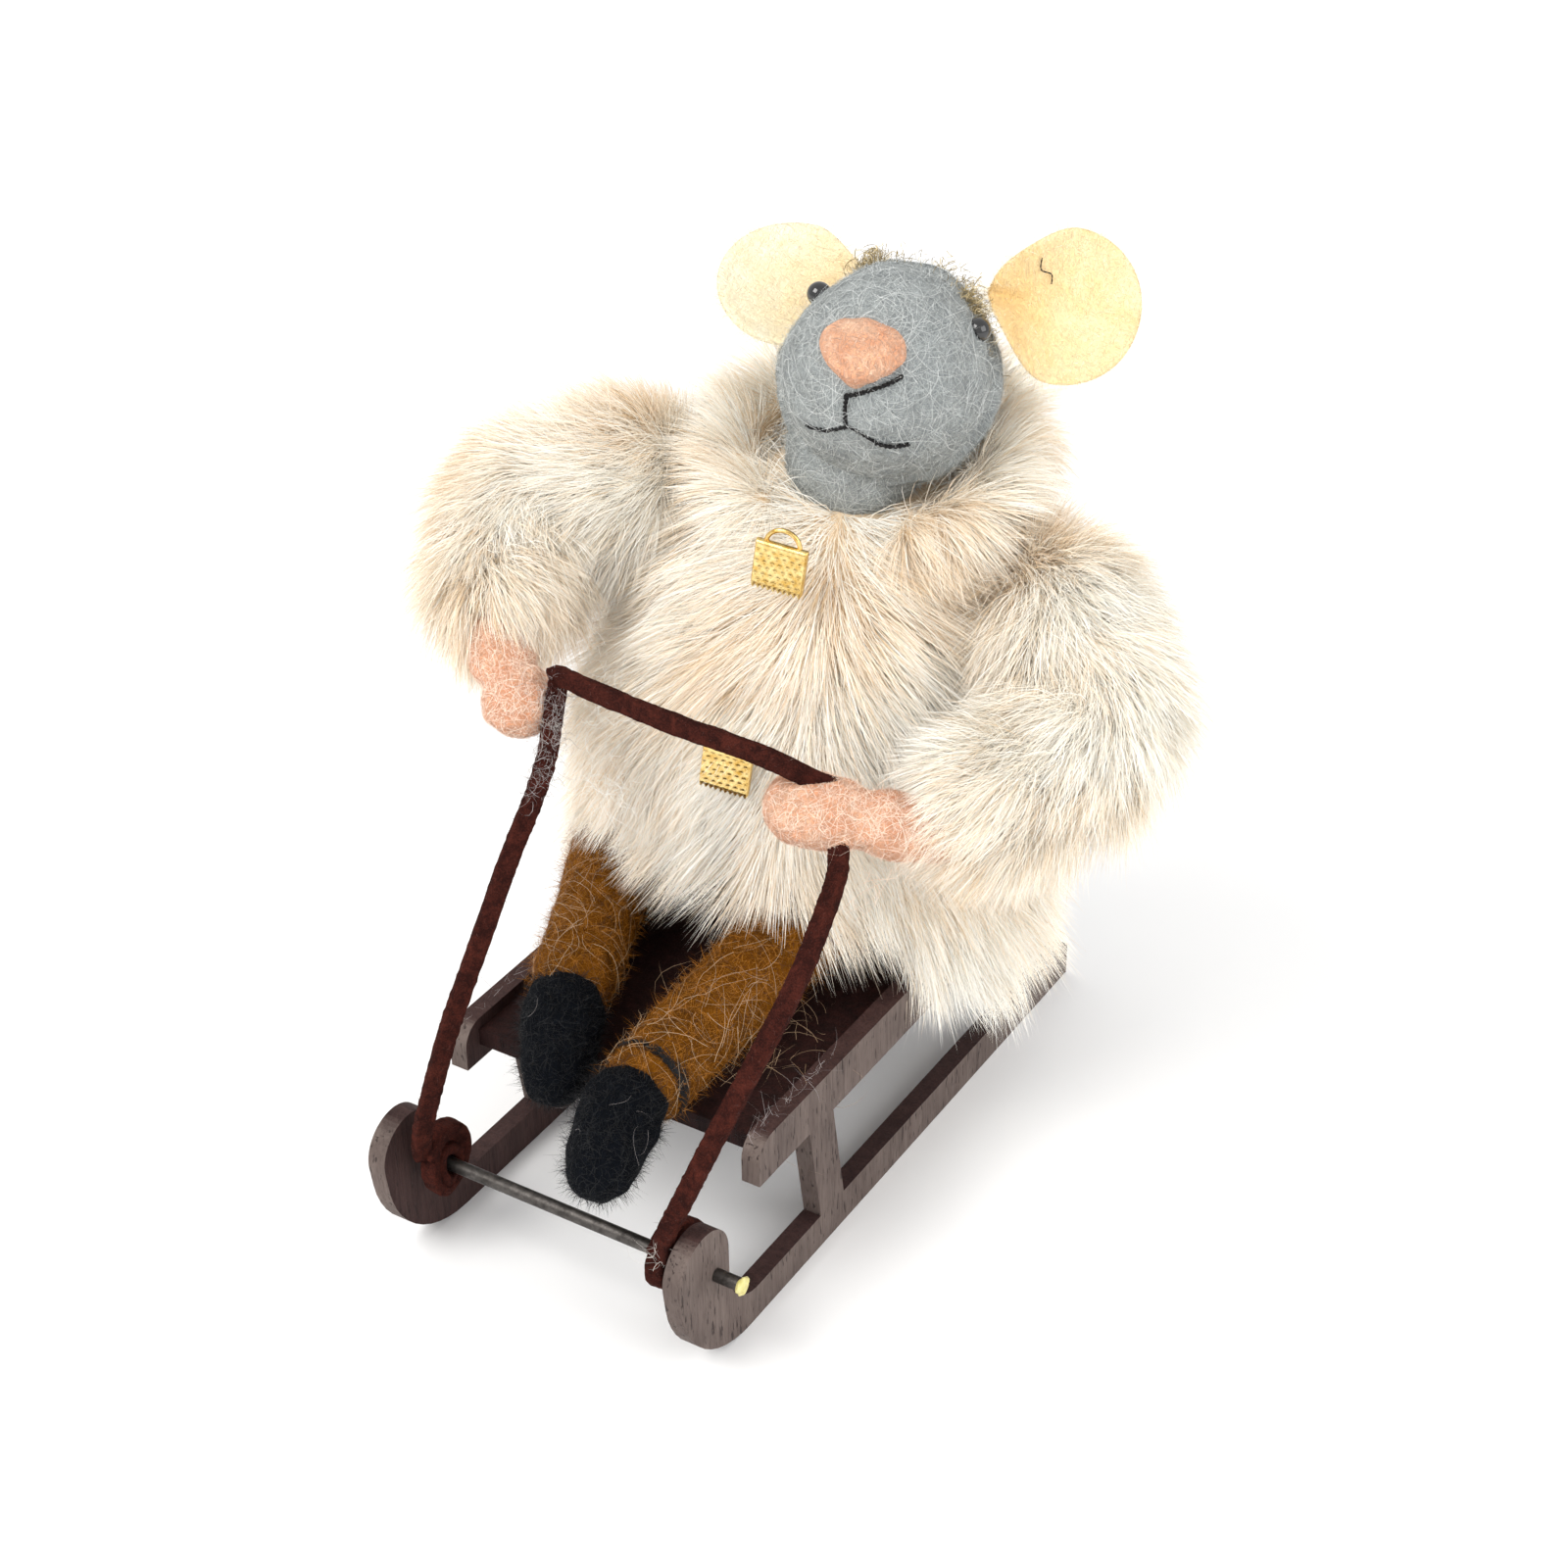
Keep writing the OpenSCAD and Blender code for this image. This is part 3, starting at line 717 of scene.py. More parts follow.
bead = patched("black glass bead", "#0a0a0c", "#050506", 0.08, 300.0, 0.00001, Specular_IOR_Level=0.6,
    Coat_Weight=0.6)
thread = patched("black sewing thread", "#1b1a1b", "#0a0a0a", 0.7, 3000.0, 0.0001, Specular_IOR_Level=0.3)
# The backing's tan is partly the cloth's own colour and partly painted shade at the roots of the fur.
backing = patched("fur cloth backing", "#f0dcc0", "#dcc09c", 0.9, 700.0, 0.0003, Specular_IOR_Level=0.1)
fur_white = hair_tone("fur white", "#fffdf6")
fur_cream = hair_tone("fur cream", "#fdf4e4")
fur_warm = hair_tone("fur warm", "#f8e6cf")
fur_sand = hair_tone("fur sand", "#e9cfab")
wool_grey_light = hair_tone("wool pale grey", "#d3d6d4")
wool_grey_middle = hair_tone("wool middle grey", "#b6bbba")
wool_grey_dark = hair_tone("wool dark grey", "#868b8d")
wool_peach = hair_tone("wool pale peach", "#fbe3cf")
wool_peach_dark = hair_tone("wool deep peach", "#d89a74")
wool_mustard = hair_tone("wool mustard", "#9c6214")
wool_mustard_dark = hair_tone("wool brown mustard", "#4f2e08")
wool_black = hair_tone("wool blue black", "#07090d")
stray_tan = hair_tone("stray tan hair", "#b79b7c")
stray_white = hair_tone("stray pale hair", "#cfc8c0")
stray_grey = hair_tone("stray grey wool", "#a49d9c")
curl_wool = hair_tone("curly beige wool", "#c9b78e")
curl_wool_dark = hair_tone("curly brown wool", "#8f7c52")
suede_fuzz = hair_tone("suede fuzz", "#4a231b")
cream_fuzz = hair_tone("cream fuzz", "#fff6e0")

# ---------------------------------------------------------------- camera, light and floor


def add_camera():
    """The camera looks down on the mouse from its front left, tipped very slightly."""
    azimuth, height, roll = (math.radians(a) for a in (32.35, 32.91, -0.97))
    right = np.array([math.cos(azimuth), math.sin(azimuth), 0])
    back = np.array([math.sin(azimuth) * math.cos(height), -math.cos(azimuth) * math.cos(height), math.sin(height)])
    up = np.cross(back, right)
    x = math.cos(roll) * right + math.sin(roll) * up
    y = -math.sin(roll) * right + math.cos(roll) * up
    place = np.array([205.04, -321.14, 315.08]) * MM
    data = bpy.data.cameras.new("camera")
    data.lens = 67.15
    data.sensor_width = 36
    data.clip_start = 0.01
    camera = bpy.data.objects.new("camera", data)
    bpy.context.scene.collection.objects.link(camera)
    matrix = np.eye(4)
    matrix[:3, 0], matrix[:3, 1], matrix[:3, 2], matrix[:3, 3] = x, y, back, place
    camera.matrix_world = Matrix(matrix.tolist())
    bpy.context.scene.camera = camera


def add_light(name, place, target, size, power, tint=(1, 1, 1)):
    """A square soft light at place that points at target."""
    data = bpy.data.lights.new(name, "AREA")
    data.size = size
    data.energy = power
    data.color = tint
    lamp = bpy.data.objects.new(name, data)
    bpy.context.scene.collection.objects.link(lamp)
    back = unit(np.array(place, float) - np.array(target, float))
    right = unit(np.cross([0.0, 0.0, 1.0], back))
    matrix = np.eye(4)
    matrix[:3, 0], matrix[:3, 1], matrix[:3, 2], matrix[:3, 3] = right, np.cross(back, right), back, place
    lamp.matrix_world = Matrix(matrix.tolist())


def add_room():
    """A pale floor, a bright even sky, and two soft lamps."""
    side = 3000.0
    floor = add_mesh("floor", [[-side, -side, -0.05], [side, -side, -0.05], [side, side, -0.05],
        [-side, side, -0.05]], [[[0, 1, 2, 3]]], False)
    floor.data.materials.append(patched("pale floor", "#fbfbfb", "#f7f7f7", 0.85, 6.0, 0.0))
    world = bpy.data.worlds.new("studio")
    world.use_nodes = True
    world.node_tree.nodes["Background"].inputs["Color"].default_value = (1.0, 1.0, 1.0, 1.0)
    world.node_tree.nodes["Background"].inputs["Strength"].default_value = 0.95
    bpy.context.scene.world = world
    add_light("key", (-0.25, -0.55, 0.75), (0, 0, 0.07), 0.5, 5.5, (1.0, 0.985, 0.96))
    add_light("fill", (0.7, -0.1, 0.45), (0, 0, 0.07), 0.6, 2.5)
    bpy.context.scene.view_settings.view_transform = "Standard"


add_camera()
add_room()

# ---------------------------------------------------------------- laces

LACE_W, LACE_T = 3.0, 1.8
REIN_LEFT = [[22.6, -4.6, 21.5], [24, -5.2, 27], [27, -4.2, 35], [30.5, -0.5, 45.5], [33.5, 6, 56],
    [35.2, 14, 65], [35.2, 21, 71.5], [33, 29, 74.3], [30.6, 33, 77.5]]
REIN_CROSS = [[28.5, 36.5, 83], [26.5, 34, 85], [22.5, 29.5, 89.5], [16, 27.5, 91.6], [8, 27, 92.2],
    [-1, 27.6, 92.4], [-9, 28.5, 92.4], [-14.6, 29.4, 92.4], [-17.5, 30.6, 91.2]]
REIN_RIGHT = [[-22, -4.6, 21.5], [-21, -5.2, 27], [-19, -4, 36], [-17.5, 0, 46.5], [-16.6, 7, 57],
    [-16.4, 15, 67], [-16, 22, 75], [-16.4, 26.4, 80], [-16.2, 28.2, 86], [-16, 29.8, 91]]


def flat_lace(path, up=(0, -0.6, 0.8), width=LACE_W, thick=LACE_T, across=None):
    """A flat lace as a surface: its cut is a rounded rectangle, |x/a|^6 + |y/b|^6 = 1, whose face looks up.
    Slow noise bends its edges and fine noise roughens them."""
    path = np.asarray(path, float)
    tangent = unit(np.gradient(path, axis=0))
    wide = unit(np.cross(tangent, np.array(up, float))) if across is None else np.tile(np.array(across,
        float), (len(path), 1))
    deep = np.cross(wide, tangent)
    share = np.linspace(0, 1, len(path))

    def surface(u, v):
        at = [np.stack([np.interp(v, share, a[:, k]) for k in range(3)], -1) for a in (path, wide, deep)]
        a = 2 * math.pi * u
        c, s = np.cos(a), np.sin(a)
        r = (np.abs(c) ** 6 + np.abs(s) ** 6) ** (-1 / 6)
        p = at[0] + at[1] * (width / 2 * r * c)[..., None] + at[2] * (thick / 2 * r * s)[..., None]
        return p + (0.06 * noise(p, 2.4, 3) + 0.035 * noise(p, 0.7, 5))[..., None] * unit(p - at[0])

    return surface


def add_lace(name, route, face):
    """A lace whose flat face looks that way, the points that it follows, and its surface."""
    surface = flat_lace(on_sledge(spline(route, 12)), face)
    lace = closed_piece(name, surface, 150, 36, lace_suede, None)
    return lace, on_sledge(spline(route, 5)), surface


rng = np.random.default_rng(7)
lace_left, path_left, left_surface = add_lace("lace_left", REIN_LEFT, (0, -0.88, 0.48))
lace_cross, path_cross, cross_surface = add_lace("lace_cross", REIN_CROSS, (0.25, -0.95, 0.2))
lace_right, path_right, right_surface = add_lace("lace_right", REIN_RIGHT, (0.79, -0.38, 0.48))
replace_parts(lace_left, "rein_left")
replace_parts(lace_cross, "rein_cross")
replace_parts(lace_right, "rein_right")
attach(lace_cross, "arm_left")
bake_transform(lace_left)
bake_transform(lace_right)


def lace_fuzz(name, surface, count, body, ends=None):
    """The nap's loose ends, short and the lace's own colour."""
    lines, facing = standing_fibres(surface, count, 0.55, rng, 0.8)
    obj = fibre_mesh(name, lines, np.full(count, 0.07), facing, rng.uniform(-1, 1, count), suede_fuzz, None
        if ends else body)
    if ends:
        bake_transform(obj)
    return obj


fuzz_left = lace_fuzz("lace_fuzz_left", left_surface, 2600, "arm_left", (path_left[4], path_left[-1]))
fuzz_right = lace_fuzz("lace_fuzz_right", right_surface, 2600, "arm_right", (path_right[4], path_right[-1]))
fuzz_cross = lace_fuzz("lace_fuzz_cross", cross_surface, 1800, "arm_left")


def knot_path(x, start, turns, skew):
    """Turns wound round the rod: they start close to the rod and open as they go, and its plane leans by
    skew, so the turns cross each other."""
    t = np.linspace(0, 1, 110)
    a = math.radians(start) - 2 * math.pi * turns * (1 - t)
    r = 2.3 + 2.7 * smooth(t, 0.05, 0.8) + 0.2 * np.cos(3 * a)
    lean = skew * r * np.cos(a - 0.6) * (1 - 0.7 * t) * smooth(t, 0, 0.3)
    return np.stack([x + lean, r * np.cos(a), 17.6 + 1.0 * t + r * np.sin(a)], -1)


KNOT_FUZZ = 900  # the short fibres on each wound end


def add_knot(name, x, node_name, skew):
    way = unit(np.array([1.0, 0.35 * skew, 0.0]))
    surface = flat_lace(on_sledge(knot_path(x, 150, 2.4, skew)), width=3.1, thick=1.8, across=way)
    knot = closed_piece(name, surface, 150, 32, lace_suede, "sledge")
    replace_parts(knot, node_name)
    lines, facing = standing_fibres(surface, KNOT_FUZZ, 0.6, rng, 0.8)
    fibre_mesh(name + "_fuzz", lines, np.full(KNOT_FUZZ, 0.07), facing, rng.uniform(-1, 1, KNOT_FUZZ),
        suede_fuzz, None, parent=knot)
    return knot


knot_left = add_knot("wound_end_left", 21.6, "knot_left", 0.22)
knot_right = add_knot("wound_end_right", -21.6, "knot_right", -0.35)


# ---------------------------------------------------------------- sledge, rod and armature

for board in ("side_board_left", "side_board_right"):
    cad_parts[board].data.materials.clear()
    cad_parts[board].data.materials.append(wood)
for name, material in (
    ("seat_board", seat_wood), ("batten_front", seat_wood), ("batten_rear", seat_wood), ("front_rod", steel),
    ("shoulder_wire", wire), ("neck_wire", wire), ("hip_wire", wire),
):
    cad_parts[name].data.materials.clear()
    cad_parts[name].data.materials.append(material)

blob_place = on_sledge([29 + 4.5, 0, 17.3])


def glue_blob(u, v):
    """A squashed drop of glue on the rod's end: a ball pushed flat along the rod, with a soft lump on one
    side."""
    a, b = 2 * math.pi * u, math.pi * v
    p = np.stack([0.75 * -np.cos(b) + 0.2, 1.45 * np.sin(b) * np.cos(a), 1.45 * np.sin(b) * np.sin(a)], -1)
    return p + 0.12 * noise(p, 1.6, 4)[..., None] * p + blob_place


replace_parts(closed_piece("glue_blob", glue_blob, 20, 28, glue, "sledge"), "rod_glue")

# ---------------------------------------------------------------- the felted core and the coat

COAT_TOP = 83.0
COAT_LEVELS = [0, 16, 30, 46, 58, 66, 72, 76, 80, 83]
COAT_WIDE = [33.5, 34, 32, 29, 27, 26, 24, 21, 16.5, 10]
COAT_DEEP = [25, 26, 26, 25.5, 24.5, 23, 21, 18.5, 15, 11]


def coat_body(u, v):
    """The coat's cloth: ovals stacked up the body. u starts at the front and goes to the mouse's left. The
    hem is high over the legs in front and rests on the seat behind, and soft folds run down it."""
    a = 2 * math.pi * u
    over_legs = smooth(np.cos(a + 0.05), 0.5, 0.85)
    hem = 3.5 + 16 * over_legs
    h = hem + (COAT_TOP - hem) * v
    wide, deep = np.interp(h, COAT_LEVELS, COAT_WIDE), np.interp(h, COAT_LEVELS, COAT_DEEP)
    fold = 0.7 * np.sin(5 * a + 1.0) * (1 - v) + 0.5 * np.sin(9 * a + 4 * v) * (1 - v)
    fold = fold + 5.0 * np.clip(-np.sin(a), 0, 1) ** 2 * np.exp(-(((h - 38) / 20) ** 2))
    fold = fold + 3.0 * np.clip(np.sin(a + 0.4), 0, 1) ** 2 * np.exp(-((h / 20) ** 2))
    middle = -1 - 2 * np.clip(h / 46, 0, 1)
    return on_seat(np.stack([(wide + fold) * np.sin(a), middle - (deep + fold) * np.cos(a), h], -1))


def torso_core(u, v):
    """The felted core: ovals that narrow from the seat to the neck, closed at both ends."""
    a = 2 * math.pi * u
    h = 0.6 + 81 * v
    r = np.interp(h, [0, 12, 27, 50, 70, 82], [14.5, 17.5, 18.5, 14.5, 9.5, 7.4])
    p = np.stack([r * np.sin(a), 1 - 3 * v - r * np.cos(a), h + 0 * a], -1)
    return on_seat(p + 0.3 * noise(p, 9, 2)[..., None] * np.stack([np.sin(a), -np.cos(a), 0 * a], -1))


core = closed_piece("felted_core", torso_core, 40, 48, core_felt, "sledge")
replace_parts(core, "torso")

coat = closed_piece("coat_cloth", coat_body, 56, 96, backing, "sledge")
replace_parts(coat, "coat_body")

SLEEVE_LEFT = on_seat([[27.5, -4, 75], [37, -13, 70], [44, -20, 63], [39, -31, 56.5], [30, -41.5, 52.2]])
SLEEVE_RIGHT = on_seat([[-27.5, -4, 75], [-39, -9, 71], [-49, -14, 66], [-48.5, -25, 61], [-44, -34, 57.4]])
SLEEVE_RADII = [9.0, 9.5, 9.5, 8.2, 6.4]

COLLAR_TURN = SEAT_TURN @ turned(12, -7, 0)
COLLAR_PLACE = on_seat([0, -3, 84.5])


def collar_route():
    """An arc round the neck, open in front."""
    a = np.radians(np.linspace(-58, 238, 9))
    ring = np.stack([20.5 * np.cos(a), 20.5 * np.sin(a), 0 * a], -1)
    return ring @ COLLAR_TURN.T + COLLAR_PLACE


sleeve_left_surface = limb(SLEEVE_LEFT, SLEEVE_RADII, 0.5, 9, 1)
sleeve_right_surface = limb(SLEEVE_RIGHT, SLEEVE_RADII, 0.5, 9, 2)
collar_surface = limb(collar_route(), [2.4, 3.4, 3.6, 3.6, 3.4, 2.4], 0.3, 7, 3)
sleeve_left = closed_piece("sleeve_cloth_left", sleeve_left_surface, 48, 40, backing, "arm_left")
sleeve_right = closed_piece("sleeve_cloth_right", sleeve_right_surface, 48, 40, backing, "arm_right")
collar = closed_piece("collar_cloth", collar_surface, 60, 24, backing, "sledge")
for piece, node_name, fill in ((sleeve_left, "sleeve_left", 0.5), (sleeve_right, "sleeve_right", 0.5),
    (collar, "coat_collar", 0.6)):
    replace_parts(piece, node_name)

SIDE, UP = SEAT_TURN[:, 0], SEAT_TURN[:, 2]


def combed_body(u, v, p, normal):
    """Down the body and away from the parting that runs down the front, and outwards over the shoulders."""
    a = 2 * math.pi * u
    from_part = (a - 0.05 + math.pi) % (2 * math.pi) - math.pi
    sideways = np.tanh(from_part * 5) * np.exp(-((from_part / 0.9) ** 2)) * (0.75 + 0.4 * smooth(v, 0.5, 0.9))
    swirl = 0.35 * noise(p, 26, 11)
    round_body = unit(np.stack([np.cos(a), np.sin(a), 0 * a], -1) @ SEAT_TURN.T)
    way = -UP * (1 - 0.35 * np.abs(sideways))[..., None] + round_body * (sideways + swirl)[..., None]
    return unit(way - normal * (way * normal).sum(-1, keepdims=True))


def combed_along(surface, swirl_seed, gravity=0.3):
    """Along the limb towards its far end, a little down, and swirled by slow noise."""

    def comb(u, v, p, normal):
        _, along_u, along_v = normal_of(surface, u, v)
        way = unit(along_v) + unit(along_u) * (0.45 * noise(p, 22, swirl_seed))[...,
            None] - np.array([0, 0, gravity])
        return unit(way - normal * (way * normal).sum(-1, keepdims=True))

    return comb


def combed_collar(u, v, p, normal):
    """Away from the neck: down on the outside of the collar, and up beside the cheeks on top of it."""
    out = unit(p - on_seat([1, -5, 92]))
    upward = smooth((normal * UP).sum(-1), 0.0, 0.8)[..., None]
    way = out * (1 - 0.3 * upward) + UP * (0.6 * upward - 0.45) + 0.3 * np.stack([noise(p, 18, s)
        for s in (21, 22, 23)], -1)
    return unit(way - normal * (way * normal).sum(-1, keepdims=True))


TONES = [("white", fur_white), ("cream", fur_cream), ("warm", fur_warm), ("sand", fur_sand)]
fur_rng = np.random.default_rng(23)


def tone_place(surface_point, pale, rng):
    """Where a lock sits in the tones: paler towards the mouse's left and the outside, with random and slow
    differences."""
    return 0.42 - pale + 0.17 * noise(surface_point, 30, 31) + rng.normal(size=len(surface_point)) * 0.08


def grow(name, surface, comb, clumps, each, spread, length, body, pale, width=0.17, **settings):
    made = pile(surface, comb, clumps, each, spread, length, fur_rng, **settings)
    first = made[0][::each, 0]
    lay_fur(name, made, TONES, tone_place(first, pale(first), fur_rng), body, width, fur_rng)


def paler_left(p):
    return 0.0015 * (p @ SIDE - 10) + 0.13


# The short undercoat is pushed to the warm and sand tones: painted shade deep in the pile, under the paler top coat.
grow("coat_under", coat_body, combed_body, 1500, 14, 2.4, 6.0, "sledge", lambda p: -0.25 + 0 * p[:, 0], 0.2,
    lift=0.9, v_range=(0.01, 0.97))
grow("coat_fur", coat_body, combed_body, 2900, 36, 2.5, 11.5, "sledge", paler_left, 0.13, lift=0.85,
    lean=0.75, v_range=(0.005, 0.975))
for side, surface, body in (("left", sleeve_left_surface, "arm_left"),
    ("right", sleeve_right_surface, "arm_right")):
    comb = combed_along(surface, 41 if side == "left" else 42)
    # The undercoat's darker tones are painted shade deep in the pile.
    grow(f"sleeve_under_{side}", surface, comb, 500, 12, 1.8, 5.0, body, lambda p: -0.2 + 0 * p[:, 0], 0.2,
        lift=0.9, v_range=(0.02, 0.9))
    grow(f"sleeve_fur_{side}", surface, comb, 1250, 36, 2.1, 10.5, body, paler_left, 0.13, lift=0.9,
        lean=0.6, v_range=(0.02, 0.9))
grow("collar_fur", collar_surface, combed_collar, 900, 34, 1.8, 9.5, "sledge", paler_left, 0.12, lift=0.6,
    lean=0.8, droop=0.08, v_range=(0.02, 0.98))

# ---------------------------------------------------------------- head


def head_reach(a):
    """The distance from the middle of the head to its skin: 17 all round, and up to 20 at the snout."""
    k = np.maximum(0, 1 - a / 75)
    return 17 + 3 * k * k * (3 - 2 * k) - np.where(a < 90, 1.1 * np.sin(np.radians(a)) ** 2, 0)


def on_face(a, c, out=0.0):
    """A point of the face, a degrees from the snout's tip, at clock angle c with 0 upwards, and out above the
    skin. The skull narrows a little upwards, more on its right."""
    a, c = np.asarray(a, float), np.asarray(c, float)
    r = head_reach(a) + out
    sa, ca = np.sin(np.radians(a)), np.cos(np.radians(a))
    x, z = r * sa * np.sin(np.radians(c)), r * sa * np.cos(np.radians(c))
    x = x * (1 - np.where(x < 0, 0.2, 0.06) * smooth(z, -2, 13))
    return on_head(np.stack([x, -r * ca, z], -1))


def head_skin(u, v):
    """The head: its reach at each angle from the snout, with soft lumps, flattened cheeks and a faint bridge
    up the nose."""
    a, c = 1 + 178 * v, 360 * u
    p = on_face(a, c)
    bridge = 0.35 * np.exp(-(((c + 180) % 360 - 180) / 26) ** 2) * np.exp(-(((a - 38) / 18) ** 2))
    return p + ((0.22 * noise(p, 13, 51) + 0.08 * noise(p, 4, 52) + bridge)[..., None] * unit(p - HEAD_PLACE))


head = closed_piece("head_felt", head_skin, 80, 96, grey_felt, "head")
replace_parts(head, "head")

neck_surface = limb(on_seat([[-2, -7.5, 77], [-1.5, -7.5, 84], [-0.5, -7, 90], [1, -6.5, 97]]),
    [9.6, 10.4, 11.2, 12], 0.3, 8, 53)
neck = closed_piece("neck_felt", neck_surface, 32, 56, grey_felt, None, parent=head)

felt_rng = np.random.default_rng(31)


def felt_fibres(name, surface, light, dark, counts, length, parent, width=0.075, lift=0.14,
    v_range=(0.04, 0.96), wander=1.3):
    """Two tones of matted fibres lying on a felted piece."""
    for tone, material, count in (("light", light, counts[0]), ("dark", dark, counts[1])):
        if count:
            lines, facing = lying_fibres(surface, count, length, felt_rng, lift, wander, v_range)
            fibre_mesh(f"{name}_{tone}", lines, width * (0.6 + 0.8 * felt_rng.random(count)), facing,
                       felt_rng.uniform(-0.5, 0.5, count), material, None, parent)


def felt_fuzz(name, surface, material, count, length, parent, width=0.055, lean=0.6, v_range=(0.03, 0.97)):
    """The short fuzz that stands off a felted piece."""
    lines, facing = standing_fibres(surface, count, length, felt_rng, lean, v_range)
    fibre_mesh(name, lines, width * (0.6 + 0.8 * felt_rng.random(count)), facing,
        felt_rng.uniform(-1, 1, count), material, None, parent)


felt_fibres("head_wool", head_skin, wool_grey_middle, wool_grey_dark, (5200, 3200), 5.0, head, 0.05, wander=1.0)
felt_fibres("head_top_wool", head_skin, wool_grey_light, wool_grey_light, (1700, 0), 7.0, head, 0.05, 0.45,
    wander=0.9)
felt_fuzz("head_fuzz", head_skin, wool_grey_light, 3000, 1.3, head)
felt_fibres("neck_wool", neck_surface, wool_grey_middle, wool_grey_dark, (1300, 700), 4.5, neck, 0.06)
felt_fibres("neck_top_wool", neck_surface, wool_grey_light, wool_grey_light, (700, 0), 6.0, neck, 0.05, 0.6)
felt_fuzz("neck_fuzz", neck_surface, wool_grey_light, 1500, 2.2, neck)


def nose_skin(u, v):
    """The nose pad: a flattened ball, wide at the top and drawn to a rounded point below."""
    a, b = 2 * math.pi * u, math.pi * v
    x, y, z = np.sin(b) * np.cos(a), -np.cos(b), np.sin(b) * np.sin(a)
    shape = np.stack([6.0 * x * (1 + 0.42 * z - 0.12 * z * z), 4.0 * y, 5.0 * z + 0.5 * z * z], -1)
    shape = shape + 0.12 * noise(shape, 4, 61)[..., None] * np.stack([x, y, z], -1)
    return on_head(shape + np.array([0, -18.8, -0.9]))


nose = closed_piece("nose_felt", nose_skin, 40, 56, peach_felt, "head")
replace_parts(nose, "nose")
felt_fibres("nose_wool", nose_skin, wool_peach, wool_peach_dark, (700, 420), 2.6, nose, 0.07, 0.1)
felt_fuzz("nose_fuzz", nose_skin, wool_peach, 900, 0.7, nose)


def bead_skin(side):
    middle = on_face(72, 60, 0.5) if side > 0 else on_face(70, -57, 0.9)

    def surface(u, v):
        """A round bead, turned so that its poles face sideways."""
        a, b = 2 * math.pi * u, math.pi * v
        return middle + 1.85 * np.stack([-np.cos(b), np.sin(b) * np.cos(a), np.sin(b) * np.sin(a)], -1)

    return surface


for side, label in ((1, "left"), (-1, "right")):
    eye = closed_piece(f"bead_eye_{label}", bead_skin(side), 32, 40, bead, "head")
    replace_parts(eye, f"eye_{label}")


def twisted_thread(path, thick, twist):
    """Two plies that wind round a path half a turn apart, each a thin round tube, as two surfaces."""
    path = np.asarray(path, float)
    tangent, side, top = frames_along(path)
    t = np.linspace(0, 1, len(path))
    length = np.linalg.norm(np.diff(path, axis=0), axis=1).sum()
    plies = []
    for half in (0, math.pi):
        angle = 2 * math.pi * length / twist * t + half
        centre = path + thick * 0.26 * (side * np.cos(angle)[:, None] + top * np.sin(angle)[:, None])

        def surface(u, v, centre=centre):
            at = [np.stack([np.interp(v, t, x[:, k]) for k in range(3)], -1) for x in (centre, side, top)]
            a = 2 * math.pi * u[..., None]
            return at[0] + thick * 0.27 * (at[1] * np.cos(a) + at[2] * np.sin(a))

        plies.append(surface)
    return plies


def add_thread(name, path, thick, parent=None, body=None, rings=110, twist=1.3):
    """A sewing thread: both plies in one mesh."""
    points, quads, tris, start = [], [], [], 0
    for surface in twisted_thread(path, thick, twist):
        p, faces = capped_tube(grid_of(surface, rings, 8))
        faces = outward(p - p.mean(0), faces)
        points.append(p)
        quads.append(faces[0] + start)
        tris.append(faces[1] + start)
        start += len(p)
    obj = add_mesh(name, np.vstack(points), [np.vstack(quads), np.vstack(tris)])
    return finish_piece(obj, thread, body, parent)


# The smile's points: on_face's a and c, and a third value that stays 0 because spline works in three
SMILE = [[50, 214, 0], [43, 200, 0], [35, 184, 0], [38, 172, 0], [47, 158, 0], [51, 144, 0]]
smile_line = spline(SMILE, 8)
smile = add_thread("smile_thread", on_face(smile_line[:, 0], smile_line[:, 1], 0.25), 0.8, body="head")
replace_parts(smile, "mouth_thread")
drop = np.linspace(0, 1, 24)
add_thread("drop_thread", on_face(20 + 16 * drop, 188 - 4 * drop, 0.3), 0.8, smile, rings=60)
add_thread("lip_thread", on_face(20 - 3.2 * np.sin(math.pi * drop) + 0.5 * drop, 190 - 80 * drop, 0.4), 0.8,
    smile, rings=70)

# ---------------------------------------------------------------- ears and hair


def ear_skin(place, turn_by, base_side, fold, pinch, front):
    """One face of the ear: a disc cut from felt and dished forwards like the inside of a ball. Towards its
    base it is pinched narrower, creased along the middle, and its lower edge is folded forwards."""
    turn_matrix = turned(*turn_by) @ turned(90, 0, 0)

    def surface(u, v):
        a = 2 * math.pi * u
        r = 11.5 * v
        x, y = r * np.cos(a), r * np.sin(a)
        base = smooth(x * base_side, 0.5, 11.5)
        lower = smooth(-y, 0.5, 9)
        crease = np.exp(-(((y + 1.2) / 1.6) ** 2))
        z = 22 - np.sqrt(23.2**2 - r**2) - 1.6 * crease * base + fold * lower * (0.25 + base) * 0.8
        z = z + 0.25 * np.sin(2.3 * a + 0.6) * v**2
        y = y * (1 - pinch * base)
        edge = 1 - smooth(v, 0.93, 1.0)
        z = z + (front * 0.7) * (0.25 + 0.75 * edge)
        return on_head(np.stack([x, y, z], -1) @ turn_matrix.T + np.array(place))

    return surface


def disc_piece(name, face_a, face_b, rings, around):
    """A closed sheet from its two faces, joined round the rim and closed in the middle of each face."""
    v = np.linspace(0.04, 1, rings)
    u = np.arange(around) / around
    uu, vv = np.meshgrid(u, v)
    grid = np.concatenate([face_a(uu, vv), face_b(uu, vv)[::-1]])
    points, faces = capped_tube(grid)
    faces = outward(points - points.mean(0), faces)
    return add_mesh(name, points, faces)


